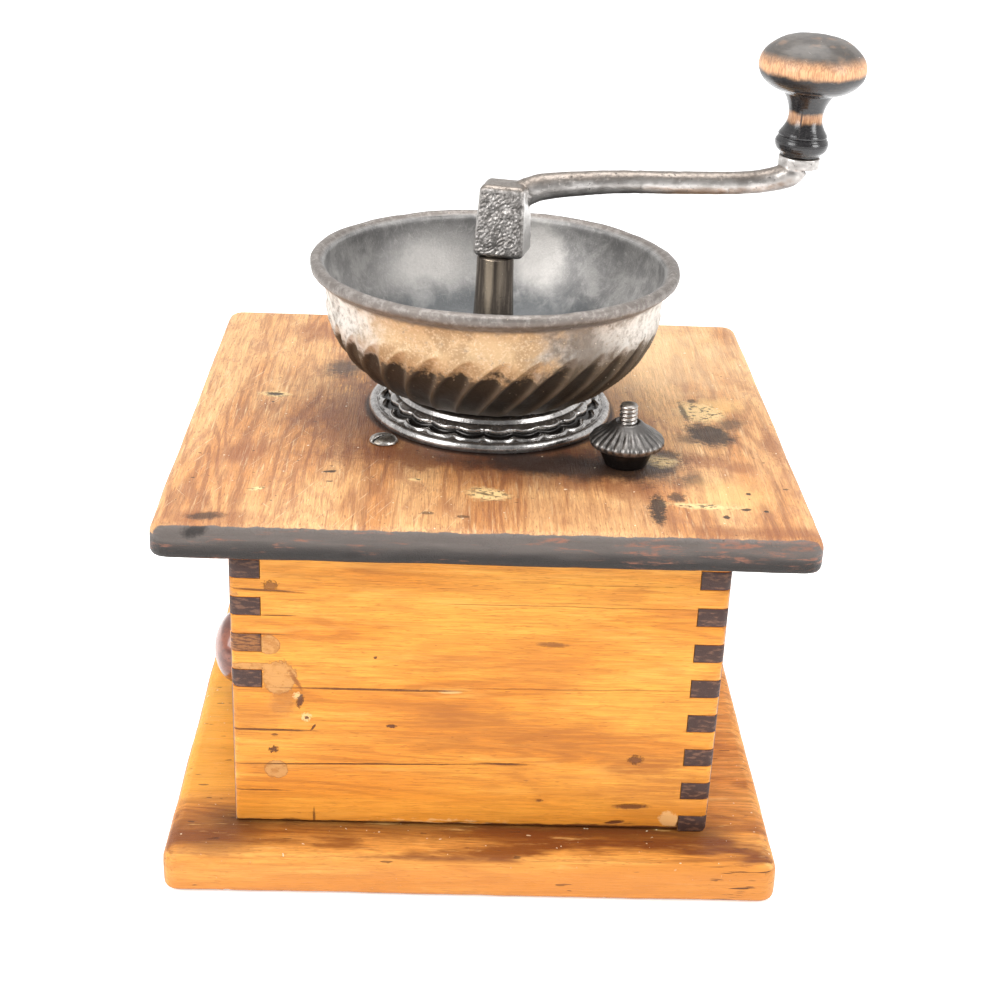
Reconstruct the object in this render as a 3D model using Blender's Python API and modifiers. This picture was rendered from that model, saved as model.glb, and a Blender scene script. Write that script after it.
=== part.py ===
"""Hand crank coffee mill: a finger-jointed wooden box with a drawer, an open cast hopper and a crank.

The origin is the centre of the base board's underside. The crank points to +X, the drawer opens to -X,
and a fluted nut on the top board lifts the spindle by a hidden lever, which sets the grind.
"""

import math

import bmesh
import bpy
from mathutils import Matrix, Vector

GAP = 0.0003  # room left between pieces that touch

# Wooden case
BASE_LENGTH = 0.196
BASE_WIDTH = 0.196
BASE_HEIGHT = 0.0144
BOX_LENGTH = 0.153
BOX_WIDTH = 0.160
BOX_TOP = 0.116
WALL = 0.0095
WALL_CORNER = 0.0022
FINGER = 0.00635
FINGERS_IN_WALL = 16
FINGERS_IN_PANEL = 8
FINGER_GAP = 0.0002
TOP_LENGTH = 0.199
TOP_WIDTH = 0.197
TOP_HEIGHT = 0.011
TOP_CENTRE = (0.0015, 0.0045)
BOARD_CORNER = 0.0055
BOARD_ROUNDING = 0.0036  # of the upper edges
BOARD_UNDERSIDE = 0.0014  # of the lower edges
DECK = BOX_TOP + TOP_HEIGHT  # upper face of the top board

# Drawer
OPENING_TOP = BOX_TOP - FINGERS_IN_PANEL * FINGER
DRAWER_FRONT = 0.010
DRAWER_SIDE = 0.006
DRAWER_FLOOR = 0.004
DRAWER_TOP = 0.060
DRAWER_END = 0.0645
DRAWER_KNOB_HEIGHT = 0.0343

# Mill axis, and the line of the adjusting lever through it
AXIS = (0.0028, 0.006)
LEVER_ANGLE = math.radians(-46.6)
ROD_REACH = 0.0623
PIVOT_REACH = 0.048
LUG_ANGLE = math.radians(43.1)
LUG_REACH = 0.0478
BURR_HOLE = 0.0256
BURR_TOP = 0.1266
BRIDGE_SCREW_REACH = 0.0211

# Lever and thrust, from the bottom up
LEVER_LOW = 0.071
LEVER_HIGH = 0.077
LEVER_WIDTH = 0.009
PIVOT_HEIGHT = 0.074
CUP_FLOOR = 0.0775
CUP_TOP = 0.0805
STEP_RADIUS = 0.005
STEP_HEIGHT = 0.003

# Hopper bowl
NECK_RADIUS = 0.0285
NECK_TOP = 0.1353
BODY_RADIUS = 0.0556
BODY_TOP = 0.1664
BOWL_WALL = 0.0028
THROAT_RADIUS = 0.017

# Crank
HUB_TURN = math.radians(-14)
HUB_LOW = 0.1812
HUB_HIGH = 0.205
TANG_SIDE = 0.0052
TANG_TOP = 0.199
KNOB_X = 0.0997
KNOB_LOW = 0.2178
KNOB_LEAN = math.radians(2.1)  # the crank's end leans outwards
PIN_RADIUS = 0.0022

# Adjusting rod and nut
ROD_RADIUS = 0.0029
ROD_TOP = 0.1476
NUT_FLUTES = 26

# Fastenings: (x, y) of each
BASE_SCREWS = [(x, y) for x in (-0.055, 0.055) for y in (-0.0752, 0.0752)]
TOP_NAILS = {
    "front": (0.003, -0.0752),
    "back": (0.003, 0.0752),
    "right": (0.0717, 0.0084),
    "left": (-0.0717, 0.0135),
}


def polar(centre, reach, angle):
    """The point at reach from centre in the direction of angle, seen from above."""
    return (centre[0] + reach * math.cos(angle), centre[1] + reach * math.sin(angle))


ROD_AT = polar(AXIS, ROD_REACH, LEVER_ANGLE)
PIVOT_AT = polar(AXIS, -PIVOT_REACH, LEVER_ANGLE)
HOUSING_SCREWS = {
    "front": polar(AXIS, -LUG_REACH, LUG_ANGLE),
    "back": polar(AXIS, LUG_REACH, LUG_ANGLE),
}


def clear_scene():
    for obj in list(bpy.data.objects):
        bpy.data.objects.remove(obj, do_unlink=True)


def new_collection(name):
    collection = bpy.data.collections.new(name)
    bpy.context.scene.collection.children.link(collection)
    return collection


def new_material(name, colour, roughness, metallic):
    made = bpy.data.materials.new(name)
    made.use_nodes = True
    shader = made.node_tree.nodes["Principled BSDF"]
    shader.inputs["Base Color"].default_value = (*colour, 1)
    shader.inputs["Roughness"].default_value = roughness
    shader.inputs["Metallic"].default_value = metallic
    return made


clear_scene()
PARTS = new_collection("coffee_mill")
CUTTERS = new_collection("cutters")

PINE = ("pine", (0.62, 0.29, 0.07), 0.45, 0)
DARK_PINE = ("dark_pine", (0.36, 0.15, 0.05), 0.4, 0)
KNOB_WOOD = ("knob_wood", (0.10, 0.035, 0.02), 0.3, 0)
CAST_IRON = ("cast_iron", (0.13, 0.12, 0.11), 0.45, 0.9)
BRIGHT_IRON = ("bright_iron", (0.33, 0.31, 0.29), 0.3, 1)
STEEL = ("steel", (0.45, 0.43, 0.41), 0.35, 1)


def add_part(name, mesh, finish):
    """Wrap a mesh in an object of the mill, with a material of its own."""
    obj = bpy.data.objects.new(name, mesh)
    PARTS.objects.link(obj)
    kind, colour, roughness, metallic = finish
    mesh.materials.append(new_material(name + "_" + kind, colour, roughness, metallic))
    return obj


def shade(obj):
    """Shade smoothly across all but the sharp edges."""
    obj.data.shade_smooth()
    obj.data.set_sharp_from_angle(angle=math.radians(35))
    return obj


def to_mesh(name, bm):
    mesh = bpy.data.meshes.new(name)
    bm.to_mesh(mesh)
    bm.free()
    return mesh


def cube_into(bm, low, high, turn=0.0, about=(0, 0)):
    """Add a box between two corners, turned about a vertical line."""
    low = Vector(low)
    high = Vector(high)
    size = high - low
    place = Matrix.Translation((low + high) / 2) @ Matrix.Diagonal((*size, 1))
    pivot = Vector((about[0], about[1], 0))
    swing = Matrix.Translation(pivot) @ Matrix.Rotation(turn, 4, "Z") @ Matrix.Translation(-pivot)
    bmesh.ops.create_cube(bm, size=1, matrix=swing @ place)


def cone_into(bm, start, end, radius, end_radius=None, segments=20):
    """Add a cylinder or cone from start to end."""
    start = Vector(start)
    end = Vector(end)
    run = end - start
    place = Matrix.Translation((start + end) / 2) @ run.to_track_quat("Z", "Y").to_matrix().to_4x4()
    far = radius if end_radius is None else end_radius
    bmesh.ops.create_cone(
        bm, cap_ends=True, segments=segments, radius1=radius, radius2=far, depth=run.length, matrix=place
    )


def box_part(name, low, high, finish):
    bm = bmesh.new()
    cube_into(bm, low, high)
    return add_part(name, to_mesh(name, bm), finish)


def rod_part(name, start, end, radius, finish, segments=20):
    bm = bmesh.new()
    cone_into(bm, start, end, radius, segments=segments)
    return shade(add_part(name, to_mesh(name, bm), finish))


def set_origin(obj, point):
    """Move an object's origin to a point and leave its shape where it is."""
    offset = Vector(point) - obj.location
    obj.data.transform(Matrix.Translation(-offset))
    obj.location = point
    return obj


def boolean(obj, other, operation):
    step = obj.modifiers.new(other.name, "BOOLEAN")
    step.operation = operation
    step.object = other
    step.solver = "EXACT"


def add_cutter(name, bm):
    cutter = bpy.data.objects.new(name, to_mesh(name, bm))
    CUTTERS.objects.link(cutter)
    cutter.hide_render = True
    cutter.display_type = "WIRE"
    return cutter


def drill(obj, name, holes):
    """Cut round holes, each given as (start, end, radius)."""
    bm = bmesh.new()
    for start, end, radius in holes:
        cone_into(bm, start, end, radius, segments=48 if radius > 0.01 else 20)
    boolean(obj, add_cutter(name, bm), "DIFFERENCE")


def upright(at, low, high, radius):
    """A vertical hole for drill()."""
    return ((at[0], at[1], low), (at[0], at[1], high), radius)


def turned(name, at, profile, finish, steps=32):
    """Spin an outline of (radius, height) points about the vertical through at.

    The outline runs down its outer side. One that starts on the axis ends on it; any other is closed.
    """
    mesh = bpy.data.meshes.new(name)
    count = len(profile)
    edges = [(i, i + 1) for i in range(count - 1)]
    if profile[0][0] > 0:
        edges.append((count - 1, 0))
    mesh.from_pydata([(radius, 0, height) for radius, height in profile], edges, [])
    obj = add_part(name, mesh, finish)
    obj.location = (at[0], at[1], 0)
    screw = obj.modifiers.new("turn", "SCREW")
    screw.steps = steps
    screw.render_steps = steps
    screw.use_merge_vertices = True
    screw.merge_threshold = 0.00001
    screw.use_smooth_shade = True
    return obj


def through(points, steps=3):
    """A smooth line of (radius, height) points through the given ones (Catmull-Rom)."""
    ends = [points[0], *points, points[-1]]
    line = []
    for a, b, c, d in zip(ends, ends[1:], ends[2:], ends[3:]):
        for i in range(steps):
            t = i / steps
            line.append(tuple(
                0.5 * (2 * q + (r - p) * t + (2 * p - 5 * q + 4 * r - s) * t * t
                       + (3 * q - p - 3 * r + s) * t ** 3)
                for p, q, r, s in zip(a, b, c, d)
            ))
    return [*line, points[-1]]


def lofted(name, at, rings, finish):
    """Join rings of equally many points, from the bottom up, and cap both ends."""
    bm = bmesh.new()
    loops = [[bm.verts.new(point) for point in ring] for ring in rings]
    count = len(rings[0])
    for low, high in zip(loops, loops[1:]):
        for i in range(count):
            j = (i + 1) % count
            bm.faces.new((low[i], low[j], high[j], high[i]))
    bm.faces.new(list(reversed(loops[0])))
    bm.faces.new(loops[-1])
    obj = add_part(name, to_mesh(name, bm), finish)
    obj.location = (at[0], at[1], 0)
    return obj


def flat_slab(name, points, thickness):
    """A flat outline in the XY plane as a mesh slab, centred on that plane."""
    curve = bpy.data.curves.new(name, "CURVE")
    curve.dimensions = "2D"
    curve.fill_mode = "BOTH"
    curve.extrude = thickness / 2
    spline = curve.splines.new("POLY")
    spline.points.add(len(points) - 1)
    for slot, (x, y) in zip(spline.points, points):
        slot.co = (x, y, 0, 1)
    spline.use_cyclic_u = True
    return solid_from_curve(name, curve)


def solid_from_curve(name, curve):
    """The mesh of a curve, with its caps welded on."""
    holder = bpy.data.objects.new(name + "_curve", curve)
    bpy.context.scene.collection.objects.link(holder)
    graph = bpy.context.evaluated_depsgraph_get()
    mesh = bpy.data.meshes.new_from_object(holder.evaluated_get(graph))
    bpy.data.objects.remove(holder, do_unlink=True)
    bm = bmesh.new()
    bm.from_mesh(mesh)
    bmesh.ops.remove_doubles(bm, verts=bm.verts, dist=0.00001)
    bmesh.ops.dissolve_limit(bm, angle_limit=0.001, verts=bm.verts, edges=bm.edges)
    bmesh.ops.recalc_face_normals(bm, faces=bm.faces)
    bm.to_mesh(mesh)
    bm.free()
    mesh.name = name
    mesh.materials.clear()
    return mesh


def rounded_rectangle(length, width, radius, centre, segments=4):
    """Corner points of a rectangle with arcs at its corners, anticlockwise."""
    points = []
    for quarter, (sx, sy) in enumerate(((1, 1), (-1, 1), (-1, -1), (1, -1))):
        middle = (centre[0] + sx * (length / 2 - radius), centre[1] + sy * (width / 2 - radius))
        for i in range(segments + 1):
            points.append(polar(middle, radius, math.pi / 2 * (quarter + i / segments)))
    return points


def board(name, length, width, height, centre, low, finish):
    """A flat board with round corners, its upper edges well rounded and its lower ones only broken."""
    outline = rounded_rectangle(length, width, BOARD_CORNER, centre)
    mesh = flat_slab(name, outline, height)
    bm = bmesh.new()
    bm.from_mesh(mesh)
    for side, rounding in ((1, BOARD_ROUNDING), (-1, BOARD_UNDERSIDE)):
        rim = [edge for edge in bm.edges if on_rim(edge, side)]
        bmesh.ops.bevel(bm, geom=rim, offset=rounding, segments=2, profile=0.5, affect="EDGES")
    bmesh.ops.translate(bm, vec=(0, 0, low + height / 2), verts=bm.verts)
    bm.to_mesh(mesh)
    bm.free()
    return add_part(name, mesh, finish)


def on_rim(edge, side):
    """Whether an edge lies between a slab's flat upper (side 1) or lower (side -1) face and its flank."""
    tilts = sorted(face.normal.z * side for face in edge.link_faces)
    return len(tilts) == 2 and abs(tilts[0]) < 0.1 and tilts[1] > 0.9


def even_finger(i):
    return i % 2 == 0


def odd_finger(i):
    return i % 2 == 1


def left_corner_finger(i):
    """The long walls have no notches below the short left panel."""
    return i % 2 == 0 or i >= FINGERS_IN_PANEL


def notch_heights(own, fingers, low, high):
    """The height ranges between a wall's own fingers, open past its top and bottom."""
    ranges = []
    for i in range(fingers):
        if own(i):
            continue
        upper = BOX_TOP - i * FINGER + FINGER_GAP / 2
        lower = BOX_TOP - (i + 1) * FINGER - FINGER_GAP / 2
        ranges.append((low - WALL if i == fingers - 1 else lower, high + WALL if i == 0 else upper))
    return ranges


def wall_slab(name, low, high):
    """A wall between two corners, with the edges that lie on the box's upright corners rounded."""
    bm = bmesh.new()
    cube_into(bm, low, high)
    corner = Vector((BOX_LENGTH / 2, BOX_WIDTH / 2))

    def on_corner(vert):
        return (Vector((abs(vert.co.x), abs(vert.co.y))) - corner).length < 0.00005

    edges = [edge for edge in bm.edges if all(on_corner(vert) for vert in edge.verts)]
    bmesh.ops.bevel(bm, geom=edges, offset=WALL_CORNER, segments=3, profile=0.5, affect="EDGES")
    return add_part(name, to_mesh(name, bm), PINE)


def long_wall(name, side):
    """The front (side -1) or back (side 1) wall, with its notches."""
    low = BASE_HEIGHT + GAP
    high = BOX_TOP - GAP
    half = BOX_LENGTH / 2
    near, far = sorted((side * (BOX_WIDTH / 2 - WALL), side * BOX_WIDTH / 2))
    wall = wall_slab(name, (-half, near, low), (half, far, high))
    notches = bmesh.new()
    for end, own in ((-1, left_corner_finger), (1, even_finger)):
        start, stop = sorted((end * (half - WALL - FINGER_GAP), end * (half + WALL)))
        for lower, upper in notch_heights(own, FINGERS_IN_WALL, low, high):
            cube_into(notches, (start, near - WALL, lower), (stop, far + WALL, upper))
    boolean(wall, add_cutter(name + "_notches", notches), "DIFFERENCE")
    return wall


def short_wall(name, side, fingers, low):
    """The right wall (side 1) or the left panel above the drawer (side -1), with its notches."""
    high = BOX_TOP - GAP
    half = BOX_WIDTH / 2
    near, far = sorted((side * (BOX_LENGTH / 2 - WALL), side * BOX_LENGTH / 2))
    wall = wall_slab(name, (near, -half, low), (far, half, high))
    notches = bmesh.new()
    for end in (-1, 1):
        start, stop = sorted((end * (half - WALL - FINGER_GAP), end * (half + WALL)))
        for lower, upper in notch_heights(odd_finger, fingers, low, high):
            cube_into(notches, (near - WALL, start, lower), (far + WALL, stop, upper))
    boolean(wall, add_cutter(name + "_notches", notches), "DIFFERENCE")
    return wall


def make_case():
    base = board("base_board", BASE_LENGTH, BASE_WIDTH, BASE_HEIGHT, (0, 0), 0, PINE)
    top = board("top_board", TOP_LENGTH, TOP_WIDTH, TOP_HEIGHT, TOP_CENTRE, BOX_TOP, PINE)
    walls = {
        "front": long_wall("front_wall", -1),
        "back": long_wall("back_wall", 1),
        "right": short_wall("right_wall", 1, FINGERS_IN_WALL, BASE_HEIGHT + GAP),
        "left": short_wall("left_panel", -1, FINGERS_IN_PANEL, OPENING_TOP + FINGER_GAP / 2),
    }
    fasten_base(base, walls)
    fasten_top(top, walls)
    bore_top(top)


def fasten_base(base, walls):
    """Countersunk screws from below, two into each long wall."""
    head = 0.0031
    length = 0.040
    drill(base, "base_screw_holes", [upright(at, -0.001, 0.02, 0.0021) for at in BASE_SCREWS])
    drill(base, "base_screw_sinks", [upright(at, -0.001, head + GAP, 0.0043) for at in BASE_SCREWS])
    for side, name in ((-1, "front"), (1, "back")):
        spots = [at for at in BASE_SCREWS if at[1] * side > 0]
        drill(walls[name], name + "_screw_holes", [upright(at, 0.01, length + GAP, 0.0021) for at in spots])
    profile = [(0, length), (0.0008, length), (0.0018, length - 0.004), (0.0018, head),
               (0.0040, head - 0.0006), (0.0040, 0.0006), (0, 0.0006)]
    for number, at in enumerate(BASE_SCREWS, 1):
        turned(f"base_screw_{number}", at, profile, STEEL, steps=12)


def fasten_top(top, walls):
    """Wire nails driven through the top board into the walls, their heads set below the surface."""
    head_top = DECK - 0.0014
    head_low = head_top - 0.0012
    tip = 0.088
    drill(top, "nail_holes", [upright(at, 0.11, DECK - 0.001, 0.0015) for at in TOP_NAILS.values()])
    drill(top, "nail_sinks", [upright(at, head_low - GAP, DECK + 0.001, 0.0025) for at in TOP_NAILS.values()])
    profile = [(0, head_top), (0.0022, head_top), (0.0022, head_low), (0.0012, head_low),
               (0.0012, tip + 0.003), (0, tip)]
    for side, at in TOP_NAILS.items():
        drill(walls[side], side + "_nail_hole", [upright(at, tip - GAP, 0.12, 0.0015)])
        turned("top_nail_" + side, at, profile, STEEL, steps=12)


def bore_top(top):
    """Holes for the burr housing, the adjusting rod and the housing and bracket screws."""
    drill(top, "housing_hole", [upright(AXIS, 0.11, 0.14, BURR_HOLE)])
    holes = [upright(ROD_AT, 0.11, 0.14, 0.0037)]
    holes += [upright(at, 0.11, 0.14, 0.0023) for at in HOUSING_SCREWS.values()]
    holes += [upright(at, 0.11, 0.1228, 0.0018) for at in bracket_screw_spots()]
    drill(top, "top_board_holes", holes)


def make_drawer():
    face = -BOX_LENGTH / 2
    behind = face + DRAWER_FRONT + GAP
    low = BASE_HEIGHT + 0.0006
    half = BOX_WIDTH / 2 - WALL - 0.0006
    inside = half - DRAWER_SIDE - GAP
    back = DRAWER_END - DRAWER_SIDE
    front_top = OPENING_TOP - 0.0007
    front = box_part("drawer_front", (face, -half, low), (face + DRAWER_FRONT, half, front_top), PINE)
    for name, side in (("drawer_side_front", -1), ("drawer_side_back", 1)):
        near = min(side * half, side * (half - DRAWER_SIDE))
        box_part(name, (behind, near, low), (back - GAP, near + DRAWER_SIDE, DRAWER_TOP), DARK_PINE)
    box_part("drawer_back", (back, -half, low), (DRAWER_END, half, DRAWER_TOP - 0.004), DARK_PINE)
    floor_low = low + 0.0012
    floor_high = floor_low + DRAWER_FLOOR
    box_part("drawer_bottom", (behind, -inside, floor_low), (back - GAP, inside, floor_high), DARK_PINE)
    hole = ((face - 0.01, 0, DRAWER_KNOB_HEIGHT), (face + 0.02, 0, DRAWER_KNOB_HEIGHT), 0.0018)
    drill(front, "drawer_knob_hole", [hole])
    make_drawer_knob(face)


def make_drawer_knob(face):
    """A turned knob on the drawer front, lying on its side, and the screw that holds it from within."""
    dome = through([(0, 0.0165), (0.005, 0.0160), (0.0100, 0.0138), (0.0132, 0.0098), (0.0132, 0.0068),
                    (0.0105, 0.0040), (0.0078, 0.0018), (0.0082, GAP)], 1)
    bore = [(0.0018, GAP), (0.0018, 0.0098), (0, 0.0098)]
    knob = turned("drawer_knob", (0, 0), [*dome, *bore], KNOB_WOOD, steps=24)
    knob.location = (face, 0, DRAWER_KNOB_HEIGHT)
    knob.rotation_euler = (0, -math.pi / 2, 0)
    under = -DRAWER_FRONT - GAP
    shank = [(0, 0.0095), (0.0015, 0.0090), (0.0015, under), (0.0036, under - 0.0002),
             (0.0030, under - 0.0018), (0.0015, under - 0.0024), (0, under - 0.0025)]
    screw = turned("drawer_knob_screw", (0, 0), shank, STEEL, steps=12)
    screw.location = knob.location
    screw.rotation_euler = knob.rotation_euler


def bowl_line(shrink, neck, bottom, steps):
    """The bowl's squarish-elliptic side from its widest point down to the neck."""
    line = []
    for i in range(steps + 1):
        angle = math.pi / 2 * (1 - i / steps)
        radius = neck + (BODY_RADIUS - shrink - neck) * math.sin(angle) ** 1.4
        height = bottom + (BODY_TOP - bottom) * (1 - math.cos(angle))
        line.append((radius, height))
    return line


def make_hopper():
    """The cast ring on the top board and the bowl that stands in it."""
    low = DECK + GAP
    rim = [(0.0594, 0.1800), (0.0607, 0.1793), (0.0610, 0.1780), (0.0605, 0.1765), (0.0587, 0.1752),
           (0.0570, 0.1738), (0.0561, 0.1710)]
    outside = [*rim, *bowl_line(0, NECK_RADIUS - 0.0004, NECK_TOP + GAP, 9), (NECK_RADIUS - 0.0004, low)]
    floor = low + 0.003
    inside = bowl_line(BOWL_WALL, NECK_RADIUS - 0.0034, floor + 0.0075, 6)[::-1]
    lip = [(0.0537, 0.1710), (0.0550, 0.1748), (0.0568, 0.1780), (0.0580, 0.1797)]
    throat = [(THROAT_RADIUS, low), (THROAT_RADIUS, floor), (NECK_RADIUS - 0.0034, floor)]
    profile = [*outside, *throat, *inside, *lip]
    bowl = turned("hopper_bowl", AXIS, profile, CAST_IRON, steps=40)
    spots = bridge_screw_spots()
    drill(bowl, "bridge_screw_holes_bowl", [upright(at, 0.12, 0.14, 0.0019) for at in spots])
    ring = [(0.0300, NECK_TOP), (0.0312, 0.1350), (0.0317, 0.1338), (0.0330, 0.1326), (0.0376, 0.1296),
            (0.0384, 0.1302), (0.0397, 0.1305), (0.0409, 0.1297), (0.0413, 0.1285), (0.0410, low),
            (NECK_RADIUS, low), (NECK_RADIUS, 0.1348), (0.0290, NECK_TOP)]
    turned("mill_ring", AXIS, ring, BRIGHT_IRON, steps=40)


def bridge_screw_spots():
    return [polar(AXIS, reach, 0) for reach in (-BRIDGE_SCREW_REACH, BRIDGE_SCREW_REACH)]


def make_bridge():
    """The bar across the throat with the spindle's upper bearing, and its two screws."""
    low = DECK + 2 * GAP + 0.003
    high = low + 0.004
    bm = bmesh.new()
    half = 0.0239
    cube_into(bm, (AXIS[0] - half, AXIS[1] - 0.0045, low), (AXIS[0] + half, AXIS[1] + 0.0045, high))
    bridge = add_part("bridge", to_mesh("bridge", bm), CAST_IRON)
    hub = bmesh.new()
    cone_into(hub, (*AXIS, 0.128), (*AXIS, 0.143), 0.0100, 0.0088, segments=28)
    boolean(bridge, add_cutter("bridge_hub", hub), "UNION")
    drill(bridge, "bridge_bearing", [upright(AXIS, 0.12, 0.15, 0.0057)])
    spots = bridge_screw_spots()
    drill(bridge, "bridge_screw_holes", [upright(at, 0.12, 0.14, 0.0019) for at in spots])
    top = high + GAP
    profile = [(0, top + 0.0022), (0.0018, top + 0.0018), (0.0029, top + 0.0006), (0.0029, top),
               (0.0016, top), (0.0016, 0.1195), (0, 0.1190)]
    for number, at in enumerate(spots, 1):
        turned(f"bridge_screw_{number}", at, profile, STEEL, steps=12)


def make_outer_burr():
    """The burr housing that hangs through the top board, with two lugs under it."""
    profile = [(0.0253, BURR_TOP), (0.0253, 0.105), (0.0242, 0.0840), (0.0193, 0.0840), (0.0179, 0.0900),
               (0.0152, 0.1160), (0.0170, BURR_TOP)]
    burr = turned("outer_burr", AXIS, profile, CAST_IRON, steps=32)
    lugs = bmesh.new()
    for side in (-1, 1):
        near, far = sorted((side * 0.0215, side * (LUG_REACH + 0.006)))
        corner = (AXIS[0] + near, AXIS[1] - 0.006, 0.1095)
        cube_into(lugs, corner, (AXIS[0] + far, AXIS[1] + 0.006, BOX_TOP - GAP), LUG_ANGLE, AXIS)
    boolean(burr, add_cutter("burr_lugs", lugs), "UNION")
    holes = [upright(at, 0.10, 0.12, 0.0023) for at in HOUSING_SCREWS.values()]
    holes += [upright(at, 0.1185, 0.13, 0.0019) for at in bridge_screw_spots()]
    drill(burr, "burr_holes", holes)
    make_housing_screws()


def make_housing_screws():
    """Slotted oval-head screws through the top board into the lugs."""
    low = DECK + GAP
    head = through([(0, low + 0.0021), (0.0024, low + 0.0017), (0.0041, low + 0.0008), (0.0046, low)], 2)
    profile = [*head, (0.0020, low), (0.0020, 0.1075), (0, 0.1065)]
    for side, at in HOUSING_SCREWS.items():
        screw = turned("housing_screw_" + side, at, profile, BRIGHT_IRON, steps=16)
        slot = bmesh.new()
        corner = (at[0] - 0.006, at[1] - 0.0006, low + 0.0009)
        cube_into(slot, corner, (at[0] + 0.006, at[1] + 0.0006, low + 0.004), math.radians(38), at)
        boolean(screw, add_cutter("slot_" + side, slot), "DIFFERENCE")


def make_spindle():
    """The spindle, from its rounded tip on the step bearing to the square tang in the crank."""
    tip = CUP_FLOOR + 2 * GAP + STEP_HEIGHT
    shoulder = HUB_LOW - 0.001
    profile = [(0, shoulder), (0.0056, shoulder), (0.0067, 0.1620), (0.0073, 0.1500), (0.0073, 0.1465),
               (0.0053, 0.1455), (0.0053, 0.1225), (0.0045, 0.1215), (0.0045, 0.0850), (0.0036, 0.0845),
               (0.0036, tip + 0.0015), (0.0022, tip), (0, tip)]
    spindle = turned("spindle", AXIS, profile, BRIGHT_IRON, steps=28)
    tang = bmesh.new()
    half = TANG_SIDE / 2
    cube_into(tang, (AXIS[0] - half, AXIS[1] - half, 0.178), (AXIS[0] + half, AXIS[1] + half, TANG_TOP),
              HUB_TURN, AXIS)
    boolean(spindle, add_cutter("tang", tang), "UNION")
    make_inner_burr(spindle)
    rise = CUP_FLOOR + GAP
    rod_part("step_bearing", (*AXIS, rise), (*AXIS, rise + STEP_HEIGHT), STEP_RADIUS, STEEL, 24)


def make_inner_burr(spindle):
    """A cone with spiral ridges, pinned to the spindle."""
    ridges = 14
    levels = 7
    low = 0.086
    high = 0.118
    rings = []
    for level in range(levels):
        share = level / (levels - 1)
        radius = 0.0180 + (0.0095 - 0.0180) * share
        depth = 0.0012 + 0.0008 * share
        ring = []
        for i in range(2 * ridges):
            angle = math.pi * i / ridges + 0.9 * share
            ring.append((*polar((0, 0), radius - depth * (i % 2), angle), low + (high - low) * share))
        rings.append(ring)
    burr = lofted("inner_burr", AXIS, rings, CAST_IRON)
    drill(burr, "inner_burr_bore", [upright(AXIS, 0.08, 0.13, 0.0049)])
    height = 0.096
    half = 0.012
    cross = ((AXIS[0] - 0.03, AXIS[1], height), (AXIS[0] + 0.03, AXIS[1], height), 0.0015)
    drill(burr, "burr_pin_hole", [cross])
    drill(spindle, "spindle_pin_hole", [cross])
    start = (AXIS[0] - half, AXIS[1], height)
    pin = rod_part("burr_pin", start, (AXIS[0] + half, AXIS[1], height), 0.0012, STEEL, 12)
    set_origin(pin, (*AXIS, 0))


def bracket_screw_spots():
    """Two screws beside the lever's pivot, across the lever's line."""
    across = LEVER_ANGLE + math.pi / 2
    return [polar(PIVOT_AT, reach, across) for reach in (-0.0135, 0.0135)]


def make_lever():
    """The cast lever: an eye at its pivot, a cup under the spindle and a hole for the rod."""
    half = LEVER_WIDTH / 2
    across = Vector((-math.sin(LEVER_ANGLE), math.cos(LEVER_ANGLE), 0))
    eye = Vector((*PIVOT_AT, PIVOT_HEIGHT))
    bar = bmesh.new()
    cube_into(bar, (PIVOT_AT[0], PIVOT_AT[1] - half, LEVER_LOW),
              (PIVOT_AT[0] + PIVOT_REACH + ROD_REACH, PIVOT_AT[1] + half, LEVER_HIGH), LEVER_ANGLE, PIVOT_AT)
    lever = add_part("adjusting_lever", to_mesh("adjusting_lever", bar), CAST_IRON)
    bosses = (
        ("lever_eye", eye - across * (half + GAP), eye + across * (half + GAP), 0.0052),
        ("lever_boss", (*AXIS, LEVER_LOW - 0.001), (*AXIS, CUP_TOP), 0.0084),
        ("lever_end", (*ROD_AT, LEVER_LOW + GAP), (*ROD_AT, LEVER_HIGH + 0.0005), 0.0078),
    )
    for name, start, end, radius in bosses:
        boss = bmesh.new()
        cone_into(boss, start, end, radius, segments=24)
        boolean(lever, add_cutter(name, boss), "UNION")
    drill(lever, "lever_holes", [
        upright(ROD_AT, 0.06, 0.09, 0.0040),
        upright(AXIS, CUP_FLOOR, 0.09, STEP_RADIUS + 0.0006),
        (eye - across * 0.02, eye + across * 0.02, 0.0023),
    ])
    set_origin(lever, eye)
    make_bracket(eye, across)


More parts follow.
